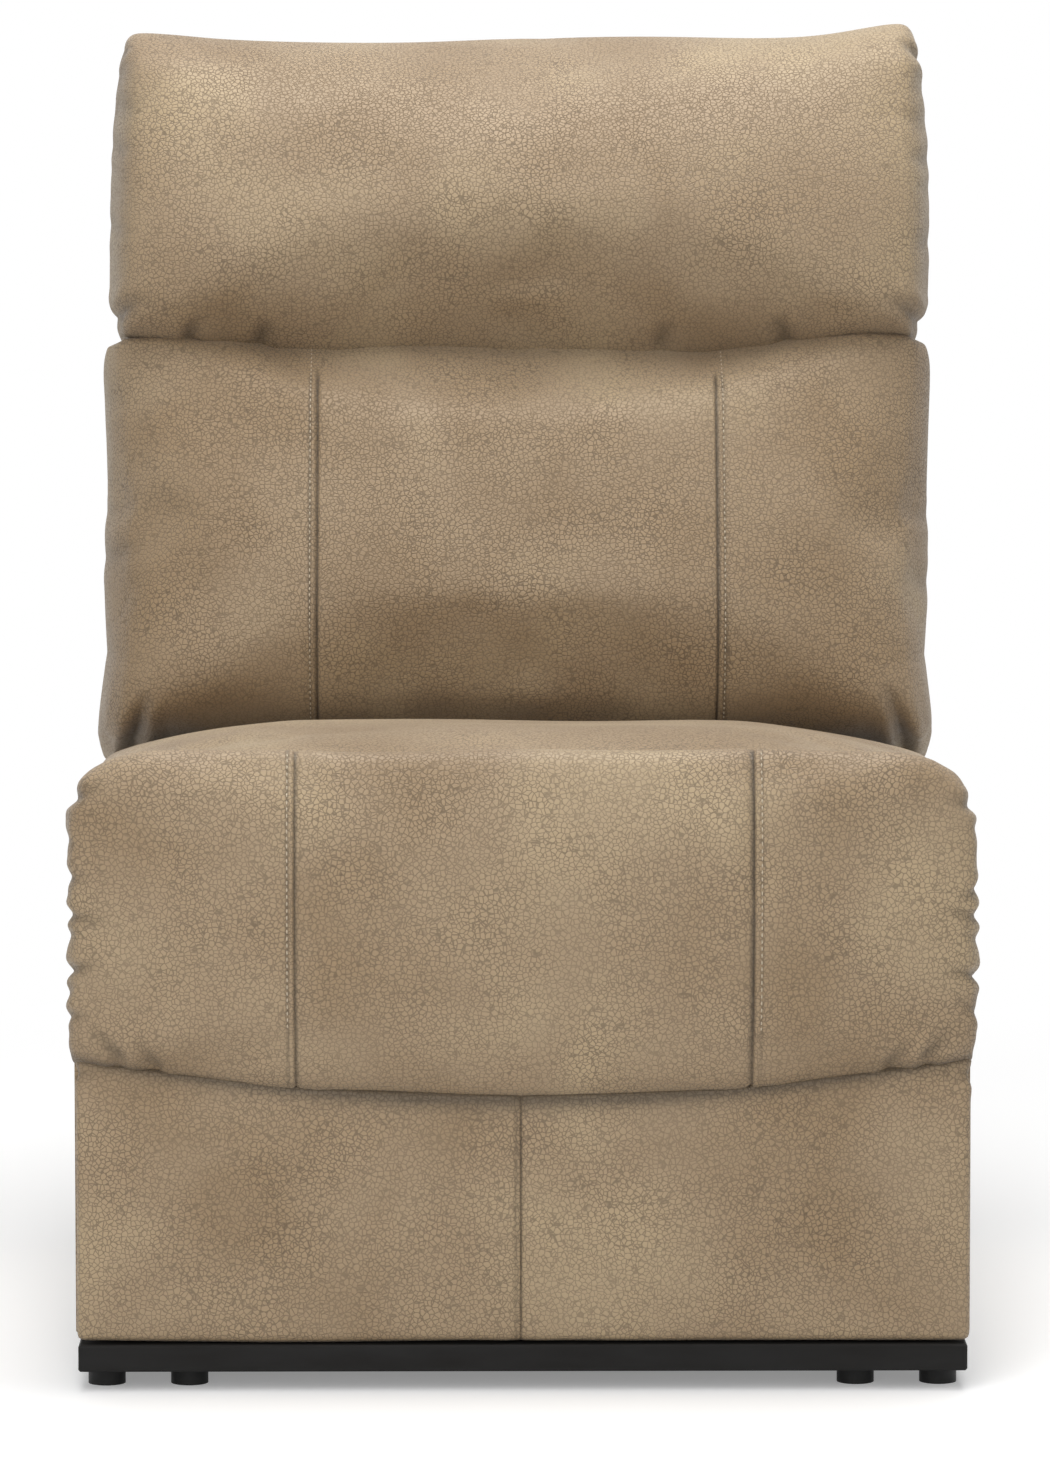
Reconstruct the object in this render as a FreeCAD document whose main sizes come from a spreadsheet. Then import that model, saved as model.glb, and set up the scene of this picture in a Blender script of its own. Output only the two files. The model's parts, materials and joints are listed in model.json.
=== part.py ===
"""Armless recliner: padded seat, back and footrest on a steel linkage that stands on a flat wooden base.

Millimetres. +Z is up, the front faces -Y and X = 0 is the middle. The origin is on the floor under the middle of
the whole object. The right half of the mechanism is drawn and mirrored. The footrest linkage is a double
parallelogram: each side has two links that swing from the seat plate and two that carry the footrest bracket, and
together they turn the footrest about a point in its own top roll, where nothing could be hinged.
"""
import FreeCAD
import Part
import math
import os
import Sketcher

doc = FreeCAD.newDocument("ArmlessRecliner")
sheet = doc.addObject("Spreadsheet::Sheet", "Sizes")
nodes = []


class Size:
    """A number that also carries the sheet expression it comes from, so that both follow one formula."""

    def __init__(self, value, text):
        self.value = float(value)
        self.text = text

    @staticmethod
    def of(thing):
        if isinstance(thing, Size):
            return thing
        return Size(thing, "(%r)" % float(thing))

    def __add__(self, other):
        other = Size.of(other)
        return Size(self.value + other.value, "(%s + %s)" % (self.text, other.text))

    def __sub__(self, other):
        other = Size.of(other)
        return Size(self.value - other.value, "(%s - %s)" % (self.text, other.text))

    def __mul__(self, other):
        other = Size.of(other)
        return Size(self.value * other.value, "(%s * %s)" % (self.text, other.text))

    def __truediv__(self, other):
        other = Size.of(other)
        return Size(self.value / other.value, "(%s / %s)" % (self.text, other.text))

    def __radd__(self, other):
        return Size.of(other) + self

    def __rsub__(self, other):
        return Size.of(other) - self

    def __rmul__(self, other):
        return Size.of(other) * self

    def __neg__(self):
        return 0 - self


def size(alias, value):
    """Put one driving size in the sheet and return it."""
    row = size.row = getattr(size, "row", 0) + 1
    sheet.set("A%d" % row, alias)
    sheet.set("B%d" % row, str(value))
    sheet.setAlias("B%d" % row, alias)
    return Size(value, "Sizes." + alias)


def root(number):
    return Size(math.sqrt(number.value), "sqrt(%s)" % number.text)


def cosine(angle):
    return Size(math.cos(math.radians(angle.value)), "cos(%s)" % angle.text)


def sine(angle):
    return Size(math.sin(math.radians(angle.value)), "sin(%s)" % angle.text)


# Seat box: the other pieces are placed from its sides, its ends and the underside of its rails
seat_half_width = size("seat_half_width", 329)
box_front = size("box_front", -400)
box_rear = size("box_rear", 130)
rail_bottom = size("rail_bottom", 362)

# Base: two flat boards on glides, joined by two runners
base_overhang = size("base_overhang", 2.5)
base_half_width = seat_half_width + base_overhang
board_depth = size("board_depth", 80)
board_height = size("board_height", 20)
front_board_ahead = size("front_board_ahead", 48)
front_board_front = box_front - front_board_ahead
rear_board_behind = size("rear_board_behind", 132)
rear_board_rear = box_rear + rear_board_behind
glide_height = size("glide_height", 15)
glide_radius = size("glide_radius", 14)
glide_inset = size("glide_inset", 19.5)
glide_pitch = size("glide_pitch", 62)
runner_width = size("runner_width", 70)
runner_height = size("runner_height", 20)
runner_inset = size("runner_inset", 4.5)
runner_setback = size("runner_setback", 48)
edge_break = size("edge_break", 1.5)

# Steel plates and pivots, in layers side by side from the middle outwards
plate = size("plate_thickness", 4)
layer_gap = size("layer_gap", 3)
first_layer_inset = size("first_layer_inset", 91)
first_layer = seat_half_width - first_layer_inset
rivet_radius = size("rivet_radius", 4)
rivet_head_radius = size("rivet_head_radius", 7)
rivet_head_height = size("rivet_head_height", 2)
rivet_head_gap = size("rivet_head_gap", 0.2)
pivot_play = size("pivot_play", 0.05)

# Swing links that carry the seat
swing_length = size("swing_length", 150)
swing_lean = size("swing_lean", 28)
swing_half_width = size("swing_half_width", 14)
front_foot_behind = size("front_foot_behind", 180)
front_swing_foot = box_front + front_foot_behind
rear_foot_ahead = size("rear_foot_ahead", 50)
rear_swing_foot = box_rear - rear_foot_ahead
foot_height = size("foot_height", 85)
bracket_flange = size("bracket_flange", 62)
bracket_reach = size("bracket_reach", 40)
ear_half_width = size("ear_half_width", 18)
web_height = size("web_height", 20)
tie_tube_width = size("tie_tube_width", 16)
tube_wall = size("tube_wall", 1.5)

# Footrest linkage: its turning point, and the two parallelograms
drive_pivot_behind = size("drive_pivot_behind", 75)
drive_pivot_ahead = box_front + drive_pivot_behind
drive_pivot_below = size("drive_pivot_below", 22)
drive_pivot_height = rail_bottom - drive_pivot_below
turn_step_ahead = size("turn_step_ahead", 140)
turn_ahead = drive_pivot_ahead - turn_step_ahead
turn_step_up = size("turn_step_up", 115)
turn_height = drive_pivot_height + turn_step_up
guide_step_back = size("guide_step_back", 58)
guide_step_down = size("guide_step_down", 13)
upper_back = size("upper_back", 69)
upper_down = size("upper_down", 110)
lower_drop = size("lower_drop", 90)
link_half_width = size("link_half_width", 12)
drive_tube_radius = size("drive_tube_radius", 10)
drive_collar_radius = size("drive_collar_radius", 15)

# Seat
rail_thickness = size("rail_thickness", 20)
rail_height = size("rail_height", 40)
seat_flange = size("seat_flange", 70)
plate_margin = size("plate_margin", 4)
plate_corner = size("plate_corner", 8)
plate_shoulder = size("plate_shoulder", 46)
web_strap_width = size("web_strap_width", 56)
web_strap = size("web_strap_thickness", 2)
side_panel = size("side_panel_thickness", 6)
side_panel_bottom = size("side_panel_bottom", 38)
side_panel_lap = size("side_panel_lap", 34)
side_panel_top = rail_bottom + side_panel_lap
side_panel_ahead = size("side_panel_ahead", 12)
side_panel_front = box_front - side_panel_ahead
side_panel_behind = size("side_panel_behind", 92)
side_panel_rear = box_rear + side_panel_behind
side_panel_corner = size("side_panel_corner", 20)
rear_panel = size("rear_panel_thickness", 10)
rear_panel_bottom = size("rear_panel_bottom", 62)
rear_panel_below = size("rear_panel_below", 62)
rear_panel_top = rail_bottom - rear_panel_below
soft_gap = size("soft_gap", 0.3)
cushion_overhang = size("cushion_overhang", 8)
cushion_half_width = seat_half_width + cushion_overhang
cushion_ahead = size("cushion_ahead", 7)
cushion_front = box_front - cushion_ahead
cushion_setback = size("cushion_setback", 22)
cushion_rear = box_rear - cushion_setback
cushion_crown_rise = size("cushion_crown_rise", 116)
cushion_crown = rail_bottom + cushion_crown_rise
cushion_side_rise = size("cushion_side_rise", 70)
cushion_side_top = rail_bottom + cushion_side_rise
cushion_rear_rise = size("cushion_rear_rise", 68)
cushion_rear_top = rail_bottom + cushion_rear_rise
cushion_rear_drop = size("cushion_rear_drop", 18)
cushion_end_draw = size("cushion_end_draw", 8)
cushion_dish = size("cushion_dish", 5)
cushion_nose = size("cushion_nose", 34)
cushion_nose_draw = size("cushion_nose_draw", 20)
cushion_tuck_run = size("cushion_tuck_run", 68)
cushion_tuck_lift = size("cushion_tuck_lift", 18)
cushion_top_bulge = size("cushion_top_bulge", 5)
cushion_nose_bulge = size("cushion_nose_bulge", 9)
shoulder_inset = size("shoulder_inset", 48)

# Footrest
footrest_board_ahead = size("footrest_board_ahead", 18)
board_rear = box_front - footrest_board_ahead
board_thickness = size("footrest_board_thickness", 12)
footrest_board_inset = size("footrest_board_inset", 4)
footrest_half_width = seat_half_width - footrest_board_inset
board_bottom = size("footrest_board_bottom", 45)
footrest_board_rise = size("footrest_board_rise", 63)
board_top = rail_bottom + footrest_board_rise
board_corner = size("footrest_board_corner", 40)
footrest_bracket_edge = size("footrest_bracket_edge", 10)
footrest_bracket_tail = size("footrest_bracket_tail", 30)
footrest_bracket_head = size("footrest_bracket_head", 40)
front_panel_overhang = size("front_panel_overhang", 4.5)
front_panel_half_width = seat_half_width + front_panel_overhang
front_panel_depth = size("front_panel_depth", 15)
front_panel_bottom = size("front_panel_bottom", 36.5)
front_panel_bevel = size("front_panel_bevel", 4)
tuck_height = size("tuck_height", 219)
tuck_rise = size("tuck_rise", 28)
tuck_gap = size("tuck_gap", 3)
pad_ahead = size("pad_ahead", 80)
pad_front = box_front - pad_ahead
pad_rise = size("pad_rise", 90)
pad_top = rail_bottom + pad_rise
pad_overhang = size("pad_overhang", 9)
pad_half_width = seat_half_width + pad_overhang
pad_roll = size("pad_roll", 28)
pad_roll_draw = size("pad_roll_draw", 8)
pad_belly = size("pad_belly", 5)
pad_top_drop = size("pad_top_drop", 42)
pad_front_draw = size("pad_front_draw", 12)
pad_lip_drop = size("pad_lip_drop", 24)
pad_lap = size("pad_lap", 2)
pad_toe = size("pad_toe", 12)
pad_toe_rise = size("pad_toe_rise", 14)
pad_toe_bulge = size("pad_toe_bulge", 4)

# Back, drawn upright from its hinge and then leaned to the rear
back_hinge_behind = size("back_hinge_behind", 60)
back_hinge_ahead = box_rear + back_hinge_behind
back_hinge_below = size("back_hinge_below", 22)
back_hinge_height = rail_bottom - back_hinge_below
back_lean = size("back_lean", 15)
back_frame_inset = size("back_frame_inset", 3)
back_half_width = seat_half_width - back_frame_inset
back_side = size("back_side_thickness", 20)
back_side_front = size("back_side_front", 26)
back_side_depth = size("back_side_depth", 93)
back_side_bottom = size("back_side_bottom", 20)
back_frame_top = size("back_frame_top", 640)
back_rail_depth = size("back_rail_depth", 20)
lower_rail_front = size("lower_rail_front", 40)
lower_rail_top = size("lower_rail_top", 150)
top_rail_height = size("top_rail_height", 60)
outside_back = size("outside_back_thickness", 12)
outside_back_drop = size("outside_back_drop", 40)
outside_back_overhang = size("outside_back_overhang", 5)
outside_back_half_width = seat_half_width + outside_back_overhang
back_strap_pitch = size("back_strap_pitch", 100)
back_strap_width = size("back_strap_width", 50)
back_bracket_neck = size("back_bracket_neck", 12)
back_cushion_overhang = size("back_cushion_overhang", 10)
back_cushion_half_width = seat_half_width + back_cushion_overhang
back_cushion_bottom = size("back_cushion_bottom", 71)
back_cushion_front = size("back_cushion_front", -166)
back_cushion_draw = size("back_cushion_draw", 46)
back_cushion_lift = size("back_cushion_lift", 10)
back_cushion_shoulder = size("back_cushion_shoulder", 26)
back_cushion_shoulder_bulge = size("back_cushion_shoulder_bulge", 8)
back_cushion_bulge = size("back_cushion_bulge", 9)
back_cushion_toe = size("back_cushion_toe", 28)
back_cushion_toe_rise = size("back_cushion_toe_rise", 40)
pillow_parting = size("pillow_parting", 404)
pillow_front = size("pillow_front", -172)
pillow_top = size("pillow_top", 673)
pillow_overhang = size("pillow_overhang", 12)
pillow_half_width = seat_half_width + pillow_overhang
pillow_draw = size("pillow_draw", 34)
pillow_top_drop = size("pillow_top_drop", 14)
pillow_rear_lap = size("pillow_rear_lap", 4)
pillow_rear_round = size("pillow_rear_round", 10)
pillow_rear_rise = size("pillow_rear_rise", 18)
pillow_rear_bulge = size("pillow_rear_bulge", 8)
pillow_crest_ahead = size("pillow_crest_ahead", 60)
pillow_crest_bulge = size("pillow_crest_bulge", 14)
pillow_brow = size("pillow_brow", 22)
pillow_brow_drop = size("pillow_brow_drop", 46)
pillow_brow_bulge = size("pillow_brow_bulge", 12)
pillow_toe = size("pillow_toe", 24)
pillow_toe_rise = size("pillow_toe_rise", 34)
pillow_face_bulge = size("pillow_face_bulge", 9)

# Link that leans the back as the seat moves forward
back_link_behind = size("back_link_behind", 32.4)
back_link_ahead = rear_swing_foot + back_link_behind
back_link_rise = size("back_link_rise", 120)
back_link_height = foot_height + back_link_rise
back_pin_behind = size("back_pin_behind", 12.6)
back_pin_below = size("back_pin_below", 43.2)
open_pivot_play = size("open_pivot_play", 2)

# Release strap and catch
strap_behind = size("strap_behind", 250)
strap_ahead = box_front + strap_behind
strap_width = size("strap_width", 26)
strap_thickness = size("strap_thickness", 3)
strap_below = size("strap_below", 20)
strap_height = rail_bottom - strap_below
strap_drop = size("strap_drop", 60)
strap_inset = size("strap_inset", 43)
strap_inner_end = seat_half_width - strap_inset
strap_slot_play = size("strap_slot_play", 0.4)
catch_arm = size("catch_arm", 55)
catch_tooth = size("catch_tooth", 18)
catch_tooth_nose = size("catch_tooth_nose", 4)
catch_inset = size("catch_inset", 35)
catch_pivot_side = seat_half_width - catch_inset
catch_margin = size("catch_margin", 4)
catch_eye_radius = size("catch_eye_radius", 10)
catch_gap = size("catch_gap", 1)
catch_stud_above = size("catch_stud_above", 1)
catch_stud_radius = size("catch_stud_radius", 3)
strap_travel_play = size("strap_travel_play", 10)
stud_play = size("stud_play", 1.2)


def bind(thing, path, value):
    thing.setExpression(path, Size.of(value).text)


def keep(thing, label):
    """Name a finished sub-part and list it for writing."""
    thing.Label = label
    nodes.append(thing)
    return thing


def new_body(label):
    body = doc.addObject("PartDesign::Body", label)
    body.Label = label
    return body


def new_sketch(body, role, offset, name):
    """Start a sketch on one of the body's own planes, moved by offset = (across, up, out of the plane)."""
    sketch = body.newObject("Sketcher::SketchObject", name)
    planes = [feature for feature in body.Origin.OriginFeatures if feature.Role == role]
    sketch.AttachmentSupport = [(planes[0], "")]
    sketch.MapMode = "FlatFace"
    for axis, value in zip("xyz", offset):
        bind(sketch, ".AttachmentOffset.Base." + axis, value)
    return sketch


def hold(sketch, kind, places, value):
    index = sketch.addConstraint(Sketcher.Constraint(kind, *places, Size.of(value).value))
    sketch.setExpression("Constraints[%d]" % index, Size.of(value).text)


def outline(body, role, offset, corners, name):
    """Draw a closed outline. A corner is (across, up) or (across, up, rise): with a rise, its edge is an arc."""
    sketch = new_sketch(body, role, offset, name)
    corners = [tuple(Size.of(number) for number in corner) for corner in corners]
    points = [FreeCAD.Vector(corner[0].value, corner[1].value, 0) for corner in corners]
    ends = []
    for index, corner in enumerate(corners):
        start = points[index]
        end = points[(index + 1) % len(points)]
        if len(corner) == 2:
            sketch.addGeometry(Part.LineSegment(start, end), False)
            ends.append((1, 2))
            continue
        chord = end - start
        outwards = FreeCAD.Vector(chord.y, -chord.x, 0).normalize()
        middle = (start + end) * 0.5 + outwards * corner[2].value
        sketch.addGeometry(Part.Arc(start, middle, end), False)
        forwards = sketch.getPoint(index, 1).distanceToPoint(start) < 1e-6
        ends.append((1, 2) if forwards else (2, 1))
    for index, corner in enumerate(corners):
        before = index - 1 if index else len(corners) - 1
        sketch.addConstraint(Sketcher.Constraint("Coincident", before, ends[before][1], index, ends[index][0]))
    for index, corner in enumerate(corners):
        hold(sketch, "DistanceX", (-1, 1, index, ends[index][0]), corner[0])
        hold(sketch, "DistanceY", (-1, 1, index, ends[index][0]), corner[1])
        if len(corner) == 3:
            following = corners[(index + 1) % len(corners)]
            across = following[0] - corner[0]
            up = following[1] - corner[1]
            rise = corner[2] if corner[2].value > 0 else -corner[2]
            radius = ((across * across + up * up) / 4 + rise * rise) / (2 * rise)
            hold(sketch, "Radius", (index,), radius)
    return sketch


def circles(body, role, offset, centres, radius, name):
    sketch = new_sketch(body, role, offset, name)
    normal = FreeCAD.Vector(0, 0, 1)
    for index, centre in enumerate(centres):
        across, up = Size.of(centre[0]), Size.of(centre[1])
        sketch.addGeometry(Part.Circle(FreeCAD.Vector(across.value, up.value, 0), normal, Size.of(radius).value))
        hold(sketch, "DistanceX", (-1, 1, index, 3), across)
        hold(sketch, "DistanceY", (-1, 1, index, 3), up)
        hold(sketch, "Radius", (index,), radius)
    return sketch


def pad(body, sketch, length, name):
    feature = body.newObject("PartDesign::Pad", name)
    feature.Profile = sketch
    bind(feature, "Length", length)
    return feature


def cut_through(body, sketch, name):
    """Cut the sketch's outline through the whole body, both ways."""
    feature = body.newObject("PartDesign::Pocket", name)
    feature.Profile = sketch
    feature.Type = "ThroughAll"
    feature.Midplane = True
    return feature


def board(label, x_span, y_span, z_span, broken=True):
    """A flat board with its long edges broken, between two values along each axis."""
    body = new_body(label)
    corners = [(x_span[0], y_span[0]), (x_span[1], y_span[0]), (x_span[1], y_span[1]), (x_span[0], y_span[1])]
    blank = pad(body, outline(body, "XY_Plane", (0, 0, z_span[0]), corners, label + "_outline"),
                Size.of(z_span[1]) - z_span[0], label + "_blank")
    if broken:
        chamfer = body.newObject("PartDesign::Chamfer", label + "_edges")
        chamfer.Base = (blank, [])
        chamfer.UseAllEdges = True
        bind(chamfer, "Size", edge_break)
    return keep(body, label)


def mirrored(source, label):
    mirror = doc.addObject("Part::Mirroring", label)
    mirror.Source = source
    mirror.Normal = (1, 0, 0)
    mirror.Base = (0, 0, 0)
    return mirror


def group(members, label):
    compound = doc.addObject("Part::Compound", label)
    compound.Links = members
    return compound


def both_sides(members, label):
    """Group right-hand solids with their mirror images as one sub-part."""
    right = group(members, label + "_right_half")
    left = mirrored(right, label + "_left_half")
    return keep(group([right, left], label), label)


def layer(number):
    """Inner face of a layer of steel plates, counted outwards from the base brackets."""
    return first_layer + (plate + layer_gap) * number


ROLL_STEPS = (0, 0.25, 1)
HEAD_SIDES = 10
STRAPS_ALONG_SEAT = 5
STRAPS_ACROSS_SEAT = 4
STRAPS_ACROSS_BACK = 5
BASE_LAYER, SWING_LAYER, SEAT_LAYER, INNER_LINKS, OUTER_LINKS = range(5)


def rounded_bar(label, number, pivots, half_width, holes):
    """A flat steel link: straight bars between pivots, round about each, with a hole where a radius is given."""
    body = new_body(label)
    for index in range(len(pivots) - 1):
        start, end = pivots[index], pivots[index + 1]
        across, up = end[0] - start[0], end[1] - start[1]
        length = root(across * across + up * up)
        side = (up / length * half_width, -across / length * half_width)
        corners = [(start[0] + side[0], start[1] + side[1]), (start[0] - side[0], start[1] - side[1]),
                   (end[0] - side[0], end[1] - side[1]), (end[0] + side[0], end[1] + side[1])]
        sketch = outline(body, "YZ_Plane", (0, 0, layer(number)), corners, "%s_bar_%d" % (label, index))
        pad(body, sketch, plate, "%s_bar_pad_%d" % (label, index))
    rounds = circles(body, "YZ_Plane", (0, 0, layer(number)), pivots, half_width, label + "_rounds")
    pad(body, rounds, plate, label + "_round_pad")
    for index, (pivot, radius) in enumerate(zip(pivots, holes)):
        if radius is None:
            continue
        name = "%s_hole_%d" % (label, index)
        cut_through(body, circles(body, "YZ_Plane", (0, 0, layer(number)), [pivot], radius, name), name + "_cut")
    return body


def many_sided(centre, radius):
    """Corners of a many-sided rivet shaft or head about centre."""
    corners = []
    for step in range(HEAD_SIDES):
        angle = 2 * math.pi * step / HEAD_SIDES
        corners.append((centre[0] + radius * round(math.cos(angle), 6), centre[1] + radius * round(math.sin(angle), 6)))
    return corners


def rivet(body, label, pivot, carrier, through):
    """Add a pivot rivet that is pressed into the carrier layer and runs through another, with a head beyond it."""
    outwards = through > carrier
    far = layer(through) + plate + rivet_head_gap if outwards else layer(through) - rivet_head_gap
    start = layer(carrier) + plate if outwards else far
    end = far if outwards else layer(carrier)
    shaft = outline(body, "YZ_Plane", (0, 0, start), many_sided(pivot, rivet_radius), label + "_shaft")
    pad(body, shaft, end - start, label + "_shaft_pad")
    head_start = far if outwards else far - rivet_head_height
    head = outline(body, "YZ_Plane", (0, 0, head_start), many_sided(pivot, rivet_head_radius), label + "_head")
    pad(body, head, rivet_head_height, label + "_head_pad")


def drive_bar(label, pivot, half_length, radius):
    """A round steel tube across the middle, between plus and minus half_length."""
    body = new_body(label)
    start = (0, 0, -half_length)
    pad(body, circles(body, "YZ_Plane", start, [pivot], radius, label + "_outside"), half_length * 2, label + "_pad")
    cut_through(body, circles(body, "YZ_Plane", start, [pivot], radius - tube_wall, label + "_bore"),
                label + "_bore_cut")
    return keep(body, label)


def square_about(pivot, half):
    return [(pivot[0] - half, pivot[1] - half), (pivot[0] + half, pivot[1] - half),
            (pivot[0] + half, pivot[1] + half), (pivot[0] - half, pivot[1] + half)]


def tie_tube(label, pivot, half_length):
    """A square steel tube across the middle that makes a pair of swing links turn as one."""
    body = new_body(label)
    start = (0, 0, -half_length)
    outside = outline(body, "YZ_Plane", start, square_about(pivot, tie_tube_width / 2), label + "_outside")
    pad(body, outside, half_length * 2, label + "_pad")
    inside = outline(body, "YZ_Plane", start, square_about(pivot, tie_tube_width / 2 - tube_wall), label + "_inside")
    cut_through(body, inside, label + "_inside_cut")
    return keep(body, label)


def lean_back(body):
    """Seat a piece that is drawn upright from the back hinge at the hinge, leaned to the rear."""
    hinge = FreeCAD.Vector(0, back_hinge_ahead.value, back_hinge_height.value)
    body.Placement = FreeCAD.Placement(hinge, FreeCAD.Rotation(FreeCAD.Vector(-1, 0, 0), back_lean.value))
    bind(body, ".Placement.Base.y", back_hinge_ahead)
    bind(body, ".Placement.Base.z", back_hinge_height)
    bind(body, ".Placement.Rotation.Angle", back_lean)
    return body


def leaned(behind, above):
    """Where a point drawn upright from the back hinge lies once the back is leaned."""
    across, down = cosine(back_lean), sine(back_lean)
    return (back_hinge_ahead + behind * across + above * down, back_hinge_height - behind * down + above * across)


def cushion(label, half_width, station, dished=True):
    """Loft a padded form through side-view outlines. station(fall, place) draws the one at a place across.

    fall goes from 1 at the side, where the cover is drawn in, to 0 at the shoulder, along a quarter round. A dished
    form changes between its shoulders too.
    """
    body = new_body(label)
    right = []
    for step in ROLL_STEPS:
        fall = 1 - math.sqrt(1 - (1 - step) ** 2)
        right.append((half_width - shoulder_inset * step, fall))
    if dished:
        right.append(((half_width - shoulder_inset) / 2, 0))
    places = [(-place, fall) for place, fall in right] + [(Size.of(0), 0)] + list(reversed(right))
    sketches = []
    for index, (place, fall) in enumerate(places):
        sketches.append(outline(body, "YZ_Plane", (0, 0, place), station(fall, place),
                                "%s_station_%d" % (label, index)))
    loft = body.newObject("PartDesign::AdditiveLoft", label + "_loft")
    loft.Profile = sketches[0]
    loft.Sections = sketches[1:]
    loft.Ruled = True
    return keep(body, label)


board_bottom_z = glide_height
board_top_z = glide_height + board_height
runner_outer = base_half_width - runner_inset
runner_top = board_top_z + runner_height
swing_reach = swing_length * sine(swing_lean)
swing_rise = swing_length * cosine(swing_lean)
front_swing_head = (front_swing_foot + swing_reach, foot_height + swing_rise)
rear_swing_head = (rear_swing_foot + swing_reach, foot_height + swing_rise)
pivot_hole = rivet_radius + pivot_play

drive_pivot = (drive_pivot_ahead, drive_pivot_height)
guide_pivot = (drive_pivot_ahead + guide_step_back, drive_pivot_height - guide_step_down)
elbow = (drive_pivot[0] + upper_back, drive_pivot[1] - upper_down)
guide_end = (guide_pivot[0] + upper_back, guide_pivot[1] - upper_down)
drive_end = (elbow[0], elbow[1] - lower_drop)
bracket_upper = (turn_ahead + upper_back, turn_height - upper_down)
bracket_lower = (bracket_upper[0], bracket_upper[1] - lower_drop)


def make_base():
    """Two flat boards on eight glides, the runners across them and the steel brackets that carry the swing links."""
    width = (-base_half_width, base_half_width)
    height = (board_bottom_z, board_top_z)
    board("front_board", width, (front_board_front, front_board_front + board_depth), height)
    board("rear_board", width, (rear_board_rear - board_depth, rear_board_rear), height)
    runner_span = (front_board_front + runner_setback, rear_board_rear)
    runner_height_span = (board_top_z, runner_top)
    inner = runner_outer - runner_width
    feet = [front_swing_foot, rear_swing_foot]
    right = board("right_runner", (inner, runner_outer), runner_span, runner_height_span)
    keep(mirrored(right, "left_runner"), "left_runner")

    for label, ahead in (("front", front_board_front), ("rear", rear_board_rear - board_depth)):
        glides = []
        for index in range(2):
            side = base_half_width - glide_inset - glide_pitch * index
            name = "%s_glide_%d" % (label, index)
            glide = new_body(name)
            pad(glide, circles(glide, "XY_Plane", (0, 0, 0), [(side, ahead + board_depth / 2)], glide_radius,
                               name + "_round"), glide_height, name + "_pad")
            glides.append(glide)
        both_sides(glides, label + "_glides")

    bracket = new_body("right_base_bracket")
    span = (front_swing_foot - bracket_reach, rear_swing_foot + bracket_reach)
    inner_face = layer(BASE_LAYER)
    flange = [(inner_face, span[0]), (inner_face + bracket_flange, span[0]),
              (inner_face + bracket_flange, span[1]), (inner_face, span[1])]
    pad(bracket, outline(bracket, "XY_Plane", (0, 0, runner_top), flange, "base_flange"), plate, "base_flange_pad")
    web = [(span[0], runner_top), (span[1], runner_top)]
    for foot in reversed(feet):
        web.append((foot + ear_half_width * 2, runner_top + web_height))
        web.append((foot + ear_half_width, foot_height + ear_half_width / 2))
        web.append((foot + ear_half_width / 2, foot_height + ear_half_width))
        web.append((foot - ear_half_width / 2, foot_height + ear_half_width))
        web.append((foot - ear_half_width, foot_height + ear_half_width / 2))
        web.append((foot - ear_half_width * 2, runner_top + web_height))
    pad(bracket, outline(bracket, "YZ_Plane", (0, 0, inner_face), web, "base_web"), plate, "base_web_pad")
    for index, foot in enumerate(feet):
        rivet(bracket, "base_rivet_%d" % index, (foot, foot_height), BASE_LAYER, SWING_LAYER)
    keep(bracket, "right_base_bracket")
    keep(mirrored(bracket, "left_base_bracket"), "left_base_bracket")


def make_swings():
    """The front and rear swing links, each pair tied across by a tube halfway up."""
    middle = [(foot + swing_reach / 2, foot_height + swing_rise / 2) for foot in (front_swing_foot, rear_swing_foot)]
    front = rounded_bar("front_swing", SWING_LAYER, [(front_swing_foot, foot_height), front_swing_head],
                        swing_half_width, [pivot_hole, pivot_hole])
    both_sides([front], "front_swing_links")
    rear_pivots = [(rear_swing_foot, foot_height), rear_swing_head, (back_link_ahead, back_link_height)]
    rear = rounded_bar("rear_swing", SWING_LAYER, rear_pivots, swing_half_width, [pivot_hole, pivot_hole, None])
    rivet(rear, "back_link_rivet", rear_pivots[2], SWING_LAYER, OUTER_LINKS)
    both_sides([rear], "rear_swing_links")
    tie_tube("front_swing_tube", middle[0], layer(SWING_LAYER))
    tie_tube("rear_swing_tube", middle[1], layer(SWING_LAYER))


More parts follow.
